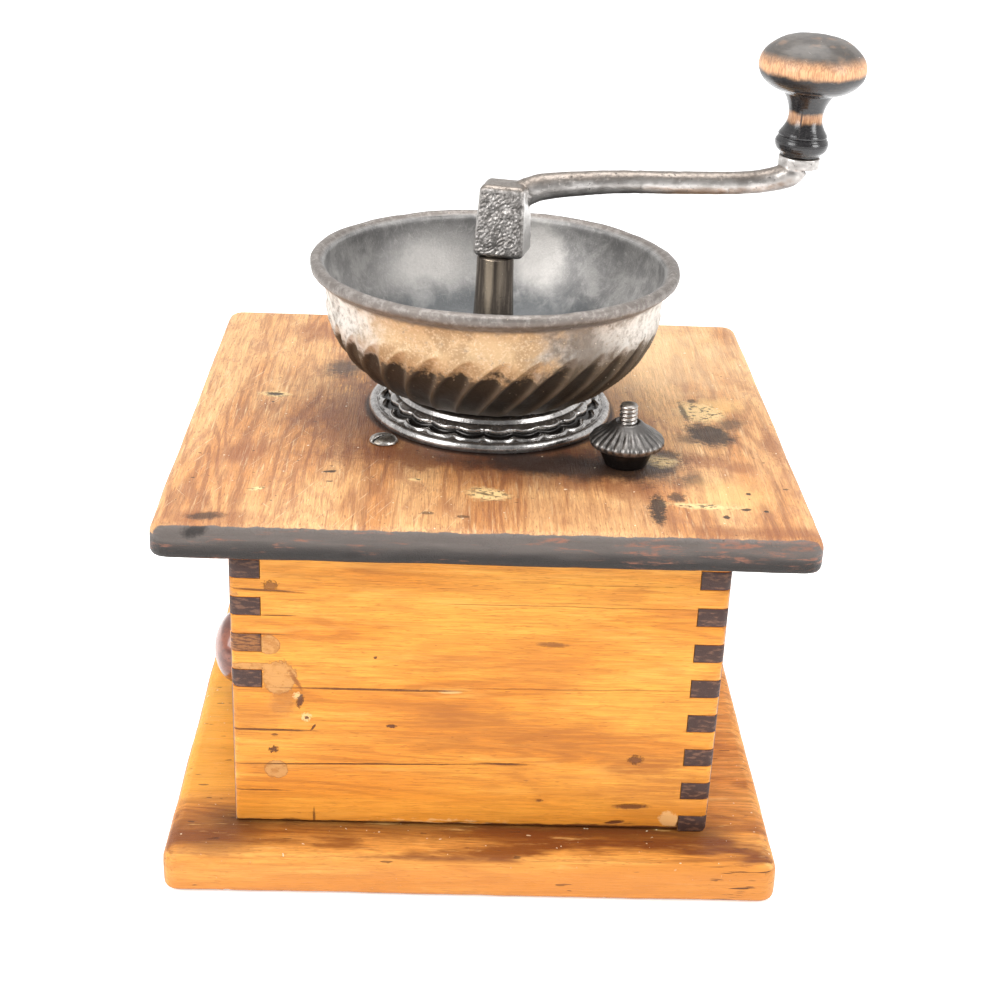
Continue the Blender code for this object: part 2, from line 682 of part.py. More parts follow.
def make_bracket(eye, across):
    """A cast clevis under the top board that holds the lever's pivot pin, and its screws."""
    plate_low = 0.1115
    bm = bmesh.new()
    cube_into(bm, (PIVOT_AT[0] - 0.007, PIVOT_AT[1] - 0.0175, plate_low),
              (PIVOT_AT[0] + 0.007, PIVOT_AT[1] + 0.0175, BOX_TOP - GAP), LEVER_ANGLE, PIVOT_AT)
    bracket = add_part("lever_bracket", to_mesh("lever_bracket", bm), CAST_IRON)
    for number, side in enumerate((-1, 1), 1):
        near, far = sorted((side * 0.0052, side * 0.0090))
        ear = bmesh.new()
        cube_into(ear, (PIVOT_AT[0] - 0.0054, PIVOT_AT[1] + near, PIVOT_HEIGHT),
                  (PIVOT_AT[0] + 0.0054, PIVOT_AT[1] + far, plate_low + 0.002), LEVER_ANGLE, PIVOT_AT)
        boolean(bracket, add_cutter(f"bracket_ear_{number}", ear), "UNION")
        tip = bmesh.new()
        skin = across * 0.0001
        cone_into(tip, eye + across * near - skin, eye + across * far + skin, 0.0058, segments=24)
        boolean(bracket, add_cutter(f"bracket_tip_{number}", tip), "UNION")
    drill(bracket, "bracket_holes", [
        (eye - across * 0.02, eye + across * 0.02, 0.0023),
        *[upright(at, 0.10, 0.12, 0.0018) for at in bracket_screw_spots()],
    ])
    pin = rod_part("lever_pivot_pin", eye - across * 0.0105, eye + across * 0.0105, 0.0020, STEEL, 16)
    set_origin(pin, eye)
    top = 0.1222
    low = plate_low - GAP
    profile = [(0, top), (0.0015, top - 0.002), (0.0015, low), (0.0030, low), (0.0029, low - 0.0012),
               (0.0015, low - 0.0020), (0, low - 0.0021)]
    for number, at in enumerate(bracket_screw_spots(), 1):
        turned(f"bracket_screw_{number}", at, profile, STEEL, steps=12)


def make_adjuster():
    """The rod that hooks under the lever, and the fluted nut that draws it up."""
    head_top = LEVER_LOW - GAP
    profile = [(0, ROD_TOP), (0.0023, ROD_TOP), (ROD_RADIUS, ROD_TOP - 0.0006),
               (ROD_RADIUS, head_top - 0.002), (0, head_top - 0.002)]
    rod = turned("adjuster_rod", ROD_AT, profile, STEEL, steps=20)
    head = bmesh.new()
    half = 0.005
    cube_into(head, (ROD_AT[0] - half, ROD_AT[1] - half, head_top - 0.0043),
              (ROD_AT[0] + half, ROD_AT[1] + half, head_top), LEVER_ANGLE, ROD_AT)
    boolean(rod, add_cutter("rod_head", head), "UNION")
    low = DECK + GAP
    outline = [(0.0054, 0, low), (0.0070, 0, low + 0.0016), (0.0081, 0, low + 0.0036), (0.0086, 0, 0.1332),
               (0.0111, 1, 0.1338), (0.0118, 1, 0.1351), (0.0113, 1, 0.1363), (0.0092, 1, 0.1380),
               (0.0068, 0.6, 0.1397), (0.0046, 0, 0.1415)]
    rings = []
    for radius, fluting, height in outline:
        ring = []
        for i in range(2 * NUT_FLUTES):
            depth = 0.0006 * fluting * (i % 2)
            ring.append((*polar((0, 0), radius - depth, math.pi * i / NUT_FLUTES), height - 0.3 * depth))
        rings.append(ring)
    nut = lofted("adjusting_nut", ROD_AT, rings, CAST_IRON)
    drill(nut, "nut_bore", [upright(ROD_AT, 0.12, 0.15, ROD_RADIUS + 0.00035)])


def crank_arm():
    """The round arm, from inside the hub to the end boss."""
    curve = bpy.data.curves.new("crank_arm", "CURVE")
    curve.dimensions = "3D"
    curve.bevel_depth = 0.00368
    curve.bevel_resolution = 4
    curve.resolution_u = 5
    curve.use_fill_caps = True
    route = [
        ((0.0070, 0.0085, 0.1990), 1.22),
        ((0.0200, 0.0080, 0.2043), 1.16),
        ((0.0400, 0.0062, 0.2067), 1.02),
        ((0.0780, 0.0060, 0.2076), 1.00),
        ((0.0930, 0.0060, 0.2100), 1.04),
        ((0.1000, 0.0060, 0.2143), 1.06),
    ]
    spline = curve.splines.new("BEZIER")
    spline.bezier_points.add(len(route) - 1)
    for point, (place, radius) in zip(spline.bezier_points, route):
        point.co = place
        point.radius = radius
        point.handle_left_type = "AUTO"
        point.handle_right_type = "AUTO"
    return solid_from_curve("crank_arm", curve)


def crank_hub():
    """A block that tapers upwards, set a little towards the arm, with softened edges."""
    bm = bmesh.new()
    bmesh.ops.create_cube(bm, size=1)
    for vert in bm.verts:
        upper = vert.co.z > 0
        half = Vector((0.0075, 0.0063)) if upper else Vector((0.0086, 0.0073))
        middle = Vector((0.0021, 0.0020)) if upper else Vector((0.0015, 0.0025))
        sign = Vector((math.copysign(1, vert.co.x), math.copysign(1, vert.co.y)))
        vert.co = (middle.x + sign.x * half.x, middle.y + sign.y * half.y, HUB_HIGH if upper else HUB_LOW)
    bmesh.ops.bevel(bm, geom=bm.edges[:], offset=0.0016, segments=2, profile=0.5, affect="EDGES")
    bm.transform(Matrix.Translation((*AXIS, 0)) @ Matrix.Rotation(HUB_TURN, 4, "Z"))
    return bm


def make_crank():
    """Hub, arm and end boss in one casting, origin on the spindle's axis."""
    crank = add_part("crank", to_mesh("crank", crank_hub()), STEEL)
    arm = bpy.data.objects.new("crank_arm", crank_arm())
    CUTTERS.objects.link(arm)
    arm.hide_render = True
    arm.display_type = "WIRE"
    boolean(crank, arm, "UNION")
    boss = bmesh.new()
    cone_into(boss, knob_point(-0.0039), knob_point(-GAP), 0.0068, segments=28)
    boolean(crank, add_cutter("crank_boss", boss), "UNION")
    socket = bmesh.new()
    half = TANG_SIDE / 2 + GAP
    corner = (AXIS[0] - half, AXIS[1] - half, 0.17)
    cube_into(socket, corner, (AXIS[0] + half, AXIS[1] + half, TANG_TOP + GAP), HUB_TURN, AXIS)
    boolean(crank, add_cutter("crank_socket", socket), "DIFFERENCE")
    foot = -0.0053
    drill(crank, "knob_pin_socket", [(knob_point(foot), knob_point(0.01), PIN_RADIUS + GAP)])
    shade(crank)
    set_origin(crank, (*AXIS, 0))
    reach = 0.0320
    pin = rod_part("knob_pin", knob_point(foot + GAP), knob_point(reach), PIN_RADIUS, STEEL, 16)
    set_origin(pin, knob_point(0))
    make_crank_knob(reach)


def knob_point(height):
    """The point on the knob's leaning axis at a height above its foot."""
    return Vector((KNOB_X + height * math.sin(KNOB_LEAN), AXIS[1], KNOB_LOW + height * math.cos(KNOB_LEAN)))


def make_crank_knob(pin_end):
    """A turned wooden knob: a flattened ball on a waisted stem with a bulb at its foot."""
    head = through([(0, 0.0380), (0.0070, 0.0373), (0.0128, 0.0342), (0.0163, 0.0298), (0.0167, 0.0268),
                    (0.0140, 0.0231), (0.0096, 0.0202)], 2)
    stem = [(0.0078, 0.0193), (0.0062, 0.0164), (0.0055, 0.0132), (0.0062, 0.0096), (0.0080, 0.0067)]
    bulb = [(0.0078, 0.0059), (0.0085, 0.0046), (0.0084, 0.0029), (0.0068, 0.0008)]
    bore = PIN_RADIUS + GAP
    inside = [(0.0066, 0), (bore, 0), (bore, pin_end + 0.0008), (0, pin_end + 0.0008)]
    knob = turned("crank_knob", (0, 0), [*head, *stem, *bulb, *inside], KNOB_WOOD, steps=24)
    knob.location = knob_point(0)
    knob.rotation_euler = (0, KNOB_LEAN, 0)


make_case()
make_drawer()
make_hopper()
make_bridge()
make_outer_burr()
make_spindle()
make_lever()
make_adjuster()
make_crank()
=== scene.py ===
"""Looks of a hand crank coffee mill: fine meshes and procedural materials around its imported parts.

Lengths in outlines and materials are in millimetres, in the frame's own axes: the crank points to +X,
the drawer opens to -X, and the side that the camera sees faces -Y.
"""

import math
import bmesh
import bpy
import numpy as np
from mathutils import Matrix, Vector, noise


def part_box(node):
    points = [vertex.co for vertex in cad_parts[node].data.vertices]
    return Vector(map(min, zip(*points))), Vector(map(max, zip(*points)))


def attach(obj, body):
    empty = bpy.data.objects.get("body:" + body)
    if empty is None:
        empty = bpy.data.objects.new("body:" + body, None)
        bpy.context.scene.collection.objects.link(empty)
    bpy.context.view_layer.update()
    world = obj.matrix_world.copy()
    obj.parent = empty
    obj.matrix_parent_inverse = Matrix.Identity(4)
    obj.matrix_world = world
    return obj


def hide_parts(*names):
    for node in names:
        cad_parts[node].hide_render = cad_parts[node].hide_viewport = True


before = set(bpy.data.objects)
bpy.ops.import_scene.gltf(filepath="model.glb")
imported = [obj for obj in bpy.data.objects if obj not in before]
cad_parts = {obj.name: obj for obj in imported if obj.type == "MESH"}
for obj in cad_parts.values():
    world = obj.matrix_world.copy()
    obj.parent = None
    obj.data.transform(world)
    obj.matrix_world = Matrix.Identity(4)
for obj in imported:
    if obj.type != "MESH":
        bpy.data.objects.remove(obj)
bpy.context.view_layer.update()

MM = 0.001


def millimetres(node):
    """The lowest and highest corners of a CAD node, in millimetres."""
    low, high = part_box(node)
    return low / MM, high / MM


def centre_of(node):
    low, high = millimetres(node)
    return (low + high) / 2


AXIS = centre_of("mill_ring").xy
ROD_AT = centre_of("adjusting_nut").xy
DECK = millimetres("top_board")[1].z
TOP_LOW, TOP_HIGH = millimetres("top_board")
WALL_LOW, WALL_HIGH = millimetres("front_wall")
HUB_TURN = math.radians(-14)
KNOB_LEAN = math.radians(2.1)
KNOB_FOOT = Vector((99.7, AXIS.y, 217.8))
BOWL_FLUTES = 32
FLUTE_FOOT = 132.0
FLUTE_HEIGHT = 32.6
FLUTE_SWIRL = math.radians(0.63)
RING_LOBES = 23
NUT_FLUTES = 26
ROD_HEAD = 4.3
HUB_LOW = 181.2
HUB_HIGH = 205.0
RIM_TOP = 180.0
IRON_NODES = ("bridge", "outer_burr", "inner_burr", "adjusting_lever", "lever_bracket")
NAILS = [f"top_nail_{side}" for side in ("front", "back", "right", "left")]


# ---------------------------------------------------------------- mesh tools


def smooth_step(value, low, high):
    """0 below low, 1 above high, and an S curve between; low may be the larger."""
    share = np.clip((value - low) / (high - low), 0, 1)
    return share * share * (3 - 2 * share)


def through(points, pieces):
    """More points along a smooth open line through these, as an array."""
    points = np.array(points, float)
    padded = np.vstack([2 * points[0] - points[1], points, 2 * points[-1] - points[-2]])
    line = []
    for i in range(len(points) - 1):
        a, b, c, d = padded[i : i + 4]
        for t in np.arange(pieces) / pieces:
            bend = (2 * a - 5 * b + 4 * c - d) * t**2 + (3 * b - a - 3 * c + d) * t**3
            line.append(0.5 * (2 * b + (c - a) * t + bend))
    line.append(points[-1])
    return np.array(line)


def outline_normals(outline, closed):
    """The outward direction at each point of a (radius, height) outline that runs down its outer side."""
    if closed:
        run = np.roll(outline, -1, axis=0) - np.roll(outline, 1, axis=0)
    else:
        run = np.gradient(outline, axis=0)
    normals = np.stack([-run[:, 1], run[:, 0]], axis=1)
    return normals / np.maximum(np.linalg.norm(normals, axis=1, keepdims=True), 1e-9)


def mesh_from(name, points, faces, lift=None):
    """A smooth-shaded mesh from points in millimetres, with doubled points merged.

    lift, one number for each point, is kept as the attribute "lift" for the materials.
    """
    mesh = bpy.data.meshes.new(name)
    mesh.from_pydata((np.asarray(points) * MM).tolist(), [], faces)
    if lift is not None:
        mesh.attributes.new("lift", "FLOAT", "POINT").data.foreach_set("value", lift.astype(np.float32))
    bm = bmesh.new()
    bm.from_mesh(mesh)
    bmesh.ops.remove_doubles(bm, verts=bm.verts, dist=1e-6)
    bmesh.ops.recalc_face_normals(bm, faces=bm.faces)
    bm.to_mesh(mesh)
    bm.free()
    mesh.shade_smooth()
    return mesh


def revolved(name, at, outline, steps, closed=True, relief=None):
    """Spin an outline about the vertical through at.

    relief(angle, radius, height, place) lifts the surface; place is the point's number in the outline.
    """
    outline = np.asarray(outline, float)
    count = len(outline)
    angle = np.repeat(np.arange(steps) * 2 * math.pi / steps, count)
    radius = np.tile(outline[:, 0], steps)
    height = np.tile(outline[:, 1], steps)
    lift = None
    if relief:
        normals = np.tile(outline_normals(outline, closed), (steps, 1))
        lift = relief(angle, radius, height, np.tile(np.arange(count), steps))
        radius = radius + lift * normals[:, 0]
        height = height + lift * normals[:, 1]
    points = np.stack([at[0] + radius * np.cos(angle), at[1] + radius * np.sin(angle), height], axis=1)
    faces = []
    for step in range(steps):
        here = step * count
        beyond = ((step + 1) % steps) * count
        for i in range(count if closed else count - 1):
            j = (i + 1) % count
            faces.append((here + i, here + j, beyond + j, beyond + i))
    return mesh_from(name, points, faces, lift)


def vertex_arrays(mesh):
    """The mesh's points in millimetres and their normals."""
    points = np.zeros(len(mesh.vertices) * 3)
    normals = np.zeros(len(mesh.vertices) * 3)
    mesh.vertices.foreach_get("co", points)
    mesh.vertex_normals.foreach_get("vector", normals)
    return points.reshape(-1, 3) / MM, normals.reshape(-1, 3)


def set_points(mesh, points):
    mesh.vertices.foreach_set("co", (points * MM).ravel())
    mesh.update()


def lumps(points, size):
    """Smooth noise from about -1 to 1. size is a lump's width in millimetres, one number or three."""
    scaled = points / np.array(size)
    return np.array([noise.noise(Vector(p)) for p in scaled])


def roughen(mesh, amount, size):
    """Lifts and sinks the surface by up to amount, in lumps of that size."""
    points, normals = vertex_arrays(mesh)
    set_points(mesh, points + normals * (amount * lumps(points, size))[:, None])
    return mesh


def cylinder_into(bm, radius, depth, sides):
    """Adds a vertical cylinder round the origin, and gives its vertices."""
    made = bmesh.ops.create_cone(
        bm, cap_ends=True, segments=sides, radius1=radius, radius2=radius, depth=depth
    )
    return made["verts"]


def remeshed(name, bm, voxel, smoothing):
    """One skin around the closed bodies of bm, of quads a voxel wide."""
    mesh = bpy.data.meshes.new(name)
    bm.to_mesh(mesh)
    bm.free()
    holder = bpy.data.objects.new(name, mesh)
    bpy.context.scene.collection.objects.link(holder)
    skin = holder.modifiers.new("skin", "REMESH")
    skin.mode = "VOXEL"
    skin.voxel_size = voxel * MM
    soften = holder.modifiers.new("soften", "SMOOTH")
    soften.iterations = smoothing
    graph = bpy.context.evaluated_depsgraph_get()
    made = bpy.data.meshes.new_from_object(holder.evaluated_get(graph))
    bpy.data.objects.remove(holder)
    made.name = name
    made.shade_smooth()
    return made


def piece(name, mesh, finish, body, slot, *nodes):
    """Shows mesh in place of the CAD nodes named, on their body."""
    obj = bpy.data.objects.new(name, mesh)
    bpy.context.scene.collection.objects.link(obj)
    mesh.materials.clear()
    mesh.materials.append(finish)
    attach(obj, body)
    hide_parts(*nodes)
    return obj


def dress(node, finish, bevel=0.25):
    """Gives a CAD node its finish and softens its edges by bevel millimetres."""
    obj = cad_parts[node]
    obj.data.materials.clear()
    obj.data.materials.append(finish)
    obj.data.shade_smooth()
    obj.data.set_sharp_from_angle(angle=math.radians(35))
    if bevel:
        weld = obj.modifiers.new("weld", "WELD")
        weld.merge_threshold = 1e-6
        soften = obj.modifiers.new("soften", "BEVEL")
        soften.width = bevel * MM
        soften.segments = 2
        soften.limit_method = "ANGLE"
        soften.angle_limit = math.radians(40)
        soften.harden_normals = True
    return obj


# ---------------------------------------------------------------- material tools


class Field:
    """A node's output. Sums and products of fields are Math nodes in the same material."""

    def __init__(self, surface, socket):
        self.surface = surface
        self.socket = socket

    def __add__(self, other):
        return self.surface.math("ADD", self, other)

    def __sub__(self, other):
        return self.surface.math("SUBTRACT", self, other)

    def __rsub__(self, other):
        return self.surface.math("SUBTRACT", other, self)

    def __mul__(self, other):
        return self.surface.math("MULTIPLY", self, other)

    def __truediv__(self, other):
        return self.surface.math("DIVIDE", self, other)

    __radd__ = __add__
    __rmul__ = __mul__


class Surface:
    """A procedural material whose coordinates are the frame's, in millimetres."""

    def __init__(self, name):
        self.material = bpy.data.materials.new(name)
        self.material.use_nodes = True
        self.tree = self.material.node_tree
        self.shader = self.tree.nodes["Principled BSDF"]
        spots = self.node("ShaderNodeTexCoord")
        scaled = self.node("ShaderNodeVectorMath", operation="SCALE")
        self.set(scaled.inputs["Vector"], spots.outputs["Object"])
        self.set(scaled.inputs["Scale"], 1 / MM)
        self.place = scaled.outputs["Vector"]
        self.x, self.y, self.z = self.split(self.place)
        self.nx, self.ny, self.nz = self.split(spots.outputs["Normal"])

    def node(self, kind, **settings):
        made = self.tree.nodes.new(kind)
        for key, value in settings.items():
            setattr(made, key, value)
        return made

    def set(self, socket, value):
        if isinstance(value, Field):
            value = value.socket
        if isinstance(value, bpy.types.NodeSocket):
            self.tree.links.new(value, socket)
        elif isinstance(value, tuple) and socket.type == "RGBA":
            socket.default_value = (*value[:3], 1)
        else:
            socket.default_value = value

    def lift(self):
        """How far the mesh code raised this point above the plain outline, in millimetres."""
        return Field(self, self.node("ShaderNodeAttribute", attribute_name="lift").outputs["Fac"])

    def split(self, vector):
        parts = self.node("ShaderNodeSeparateXYZ")
        self.set(parts.inputs[0], vector)
        return [Field(self, out) for out in parts.outputs]

    def math(self, operation, *values):
        made = self.node("ShaderNodeMath", operation=operation)
        for socket, value in zip(made.inputs, values):
            self.set(socket, value)
        return Field(self, made.outputs[0])

    def greatest(self, *fields):
        highest = fields[0]
        for other in fields[1:]:
            highest = self.math("MAXIMUM", highest, other)
        return highest

    def step(self, value, low, high):
        """0 where value is under low and 1 where it is over high; low may be the larger."""
        made = self.node("ShaderNodeMapRange", interpolation_type="SMOOTHSTEP")
        self.set(made.inputs["Value"], value)
        if low > high:
            low, high = high, low
            self.set(made.inputs["To Min"], 1.0)
            self.set(made.inputs["To Max"], 0.0)
        self.set(made.inputs["From Min"], low)
        self.set(made.inputs["From Max"], high)
        return Field(self, made.outputs["Result"])

    def noise(self, size, detail, seed, turn=(0, 0, 0), rough=0.5, warp=0.0):
        """Soft noise about 0.5. size is a lump's width, one number or one for each turned axis."""
        sizes = (size, size, size) if isinstance(size, (int, float)) else size
        mapping = self.node("ShaderNodeMapping", vector_type="TEXTURE")
        self.set(mapping.inputs["Vector"], self.place)
        self.set(mapping.inputs["Location"], (37.0 * seed, -23.0 * seed, 11.0 * seed))
        self.set(mapping.inputs["Rotation"], tuple(math.radians(angle) for angle in turn))
        self.set(mapping.inputs["Scale"], sizes)
        made = self.node("ShaderNodeTexNoise")
        self.set(made.inputs["Vector"], mapping.outputs[0])
        self.set(made.inputs["Scale"], 1.0)
        self.set(made.inputs["Detail"], float(detail))
        self.set(made.inputs["Roughness"], rough)
        self.set(made.inputs["Distortion"], warp)
        return Field(self, made.outputs["Fac"])

    def mask(self, low, high, size, detail, seed, **more):
        """Noise as a mask: 0 where it is under low and 1 where it is over high."""
        return self.step(self.noise(size, detail, seed, **more), low, high)

    def mix(self, base, colour, share):
        """base where share is 0 and colour where it is 1."""
        made = self.node("ShaderNodeMix", data_type="RGBA")
        self.set(made.inputs["Factor"], share)
        self.set(made.inputs[6], base)
        self.set(made.inputs[7], colour)
        return Field(self, made.outputs[2])

    def darken(self, base, share):
        """base times share, all three colours alike."""
        made = self.node("ShaderNodeVectorMath", operation="SCALE")
        self.set(made.inputs[0], base)
        self.set(made.inputs["Scale"], share)
        return Field(self, made.outputs[0])

    def patch(self, across, up, centre, radii, turn=0.0, edge=None, soft=0.25):
        """An oval patch in the plane of two coordinates: 1 inside, 0 outside, ragged by the noise edge."""
        cos = math.cos(math.radians(turn))
        sin = math.sin(math.radians(turn))
        u = across - centre[0]
        v = up - centre[1]
        along = (u * cos + v * sin) / radii[0]
        aside = (v * cos - u * sin) / radii[1]
        reach = self.math("SQRT", along * along + aside * aside)
        if edge is not None:
            reach = reach + edge
        return self.step(reach, 1 + soft, 1 - soft)

    def finish(self, colour, roughness, height=None, **constants):
        """Wires the shader. height is in millimetres; constants go straight on the shader's sockets."""
        self.set(self.shader.inputs["Base Color"], colour)
        self.set(self.shader.inputs["Roughness"], roughness)
        for key, value in constants.items():
            self.set(self.shader.inputs[key.replace("_", " ").title().replace("Ior", "IOR")], value)
        if height is not None:
            bump = self.node("ShaderNodeBump")
            self.set(bump.inputs["Strength"], 1.0)
            self.set(bump.inputs["Distance"], MM)
            self.set(bump.inputs["Height"], height)
            self.set(self.shader.inputs["Normal"], bump.outputs[0])
        return self.material


def lengthwise(grain, along, across):
    """Noise sizes for streaks that run along one axis, named by its letter."""
    return tuple(along if axis == grain else across for axis in "xyz")


class Timber:
    """The figure that every wooden face shares: tone, rings, fibres, streaks and pores along an axis."""

    def __init__(self, surface, grain, seed, end_reach=(0.75, 0.9)):

        def figure(along, across, detail, number, **more):
            return surface.noise(lengthwise(grain, along, across), detail, seed + number, **more)

        self.tone = surface.step(figure(85, 15, 4, 0, warp=0.4), 0.36, 0.64)
        rings = figure(130, 15, 1.5, 1, warp=0.15)
        self.rings = surface.step(surface.math("SINE", rings * RINGS_IN_NOISE), -0.2, 0.95)
        self.fibre = surface.step(figure(9, 0.45, 3, 2, rough=0.7), 0.34, 0.68)
        self.streak = surface.step(figure(24, 1.0, 4, 3, rough=0.6), 0.50, 0.68)
        self.pores = surface.step(figure(3.4, 0.36, 1, 4), 0.62, 0.70)
        self.hairs = surface.step(figure(15, 0.30, 3, 5, warp=0.2), 0.60, 0.70)
        facing = {"x": surface.nx, "y": surface.ny, "z": surface.nz}[grain]
        self.end = surface.step(surface.math("ABSOLUTE", facing), *end_reach)

    def colour(self, surface, light, deep, brown, depth=1.0):
        """light to deep with the tone, and brown in rings, streaks and pores, as strong as depth says."""
        base = surface.mix(light, deep, self.tone)
        base = surface.mix(base, brown, self.rings * (0.15 + self.tone * 0.4) * depth)
        base = surface.mix(base, brown, self.streak * 0.42 * depth)
        base = surface.mix(base, brown, self.hairs * 0.40 * depth)
        base = surface.darken(base, 1.0 - 0.17 * depth + self.fibre * 0.27 * depth)
        return surface.mix(base, brown, self.pores * 0.5 * depth)


# ---------------------------------------------------------------- materials


GOLD = (0.80, 0.345, 0.050)
AMBER = (0.68, 0.240, 0.026)
RUST_BROWN = (0.36, 0.115, 0.016)
TAN = (0.72, 0.405, 0.175)
HONEY = (0.56, 0.250, 0.085)
UMBER = (0.25, 0.095, 0.040)
SOOT = (0.018, 0.012, 0.010)
FILLER = (0.86, 0.60, 0.28)
PALE_WOOD = (0.86, 0.61, 0.34)
RED_WEAR = (0.33, 0.125, 0.072)
RINGS_IN_NOISE = 74.0


def random_specks(surface, size, seed, low=0.70, high=0.76):
    return surface.step(surface.noise(size, 1, seed), low, high)


def top_board_finish():
    """Worn varnish on a grain along Y, a dark stain round the mill, and black painted edges."""
    s = Surface("top_board_wood")
    wood = Timber(s, "y", 3)
    ragged = (s.noise(3.2, 4, 21, rough=0.65) - 0.5) * 1.1
    wavy = (s.noise((9, 14, 9), 4, 22, rough=0.6) - 0.5) * 1.5
    colour = wood.colour(s, TAN, HONEY, UMBER, 1.15)
    smudges = s.mask(0.50, 0.68, (8, 20, 10), 6, 23, rough=0.70, warp=0.7)
    colour = s.mix(colour, (0.34, 0.145, 0.065), smudges * 0.62)
    pale = s.mask(0.54, 0.68, (0.8, 16, 5), 5, 24, rough=0.70)
    bleached = s.mask(0.42, 0.62, (16, 30, 16), 3, 37)
    colour = s.mix(colour, PALE_WOOD, pale * (0.2 + bleached * 0.4))
    scuffs = s.greatest(
        s.mask(0.68, 0.73, (0.30, 15, 5), 2, 25, turn=(0, 0, -24)),
        s.mask(0.71, 0.76, (0.26, 11, 5), 2, 38, turn=(0, 0, 33)),
    )
    colour = s.mix(colour, (0.90, 0.68, 0.42), scuffs * s.step(s.x, 20, -15) * 0.65)

    ax, ay = AXIS

    tiny = (s.noise(1.1, 4, 40, rough=0.7) - 0.5) * 2.4

    def spot(x, y, wide, deep, turn=0.0, edge=ragged, soft=0.35):
        edge = edge + tiny * (0.9 if wide < 3 else 0.35)
        return s.patch(s.x, s.y, (x, y), (wide, deep), turn=turn, edge=edge, soft=soft)

    def blots(rows):
        """The greatest of several soft spots, each of (x, y, wide, deep, turn, soft, strength)."""
        return s.greatest(*[spot(*row[:5], wavy, row[5]) * row[6] for row in rows])

    browned = blots([
        (-74, -38, 11, 7, 40, 0.6, 0.55),
        (-56, -6, 7, 11, 0, 0.6, 0.35),
        (72, -36, 6, 5, 0, 0.6, 0.6),
        (83, -40, 5, 4, 0, 0.6, 0.5),
        (46, -60, 9, 9, 0, 0.6, 0.6),
        (96, -21, 2.5, 12, 0, 0.6, 0.7),
        (-62, 78, 10, 8, 0, 0.6, 0.6),
        (85, -88, 22, 4, 0, 0.6, 0.7),
        (12, -77, 44, 11, 0, 0.7, 0.30),
        (-80, -88, 16, 5, 0, 0.6, 0.5),
    ])
    colour = s.mix(colour, (0.25, 0.085, 0.032), browned)
    stain = blots([
        (ax - 8, ay - 4, 54, 48, 0, 0.45, 0.5),
        (ax - 24, ay - 10, 38, 33, 0, 0.30, 0.62),
        (ax, ay - 42, 52, 13, 0, 0.40, 0.85),
        (ax + 22, ay - 58, 36, 9, -4, 0.6, 0.55),
    ])
    colour = s.mix(colour, (0.19, 0.056, 0.020), stain)
    black = s.greatest(
        spot(ax + 24, ay - 49, 36, 9, -9, wavy, 0.5),
        spot(ROD_AT.x + 3, ROD_AT.y - 2, 15, 13, 0, wavy, 0.4),
        spot(-49, 40, 6, 9, -10, wavy * 0.7 + ragged, 0.6) * 0.85,
    )
    colour = s.mix(colour, (0.030, 0.017, 0.013), black * 0.92)
    bristles = spot(-44.5, 26, 5, 9, 0, wavy, 0.6) * s.mask(0.55, 0.62, (0.6, 7, 5), 2, 39)
    colour = s.mix(colour, (0.85, 0.42, 0.13), bristles * 0.8)

    knots = s.greatest(
        spot(-71.2, 12.8, 5.2, 2.4, 0, ragged, 0.4),
        spot(75.2, 6.8, 7.0, 9.0, 18, ragged * 1.2),
        spot(1.5, -65.8, 6.4, 4.4, -20, ragged * 1.5),
        spot(66.5, -70.2, 9.5, 2.0, -4, ragged * 1.8, 0.5),
        spot(57.5, -36.5, 4.5, 4.5, 0, ragged * 1.5, 0.5) * 0.8,
        spot(-20.9, -56.2, 2.0, 1.0, 0, ragged),
        spot(-68.7, -66.4, 2.4, 1.2, 20, ragged),
    )
    sunny = s.greatest(spot(81, 13, 8, 7, 0, wavy, 0.6) * 0.5, spot(78, -62, 10, 11, 0, wavy, 0.7) * 0.4)
    colour = s.mix(colour, (0.90, 0.55, 0.20), sunny)
    colour = s.mix(colour, PALE_WOOD, spot(68, 62, 26, 40, 0, wavy, 0.7) * 0.40)
    colour = s.mix(colour, FILLER, knots * 0.85)
    pits = knots * s.mask(0.56, 0.62, (1.9, 1.2, 1.2), 2, 26)
    burns = s.greatest(
        spot(76.0, -13.5, 7.8, 10.0, 12, ragged * 1.2, 0.35),
        spot(84.0, -4.0, 6.5, 4.0, 55, ragged * 1.4, 0.6) * 0.75,
        spot(70.0, -17.0, 5.0, 4.0, 0, ragged * 1.5, 0.6) * 0.7,
        spot(69.6, 6.5, 1.1, 8.0, 4, ragged * 1.4, 0.4) * 0.85,
        spot(0.5, -65.5, 5.0, 0.7, -24, ragged * 1.6, 0.5) * 0.8,
        spot(73.8, 17.5, 2.0, 1.9, 0, ragged) * 0.8,
        spot(52.8, -73.0, 2.3, 10.0, -4, ragged * 1.3, 0.35),
        spot(59.6, -64.4, 2.4, 3.0, 0, ragged * 1.2, 0.4) * 0.85,
        spot(59.8, -30.5, 4.2, 3.4, 0, ragged * 1.8, 0.6) * 0.8,
        spot(82.2, -60.4, 0.7, 0.9),
        spot(79.9, -72.0, 1.5, 0.8, 12),
        spot(85.7, -72.9, 0.7, 0.7),
        spot(73.1, -77.8, 0.9, 1.2),
        spot(94.5, -56.2, 0.9, 0.6) * 0.8,
        spot(-81.5, -86.5, 5.5, 2.4, 10, ragged * 1.5, 0.5) * 0.85,
        spot(-71.2, 12.8, 3.0, 1.3, 0, ragged * 0.5, 0.3),
        spot(-47.6, -51.8, 2.0, 0.9, 8, ragged * 0.5, 0.3),
        spot(-47.4, -59.4, 1.0, 0.5) * 0.85,
        spot(-16.9, -80.6, 2.2, 1.0, 0, ragged * 1.5) * 0.7,
        spot(-6.3, -82.3, 1.6, 0.9, 0, ragged * 1.5) * 0.7,
        random_specks(s, (2.6, 1.7, 2), 27, 0.745, 0.785) * 0.85,
        pits * 0.85,
    )
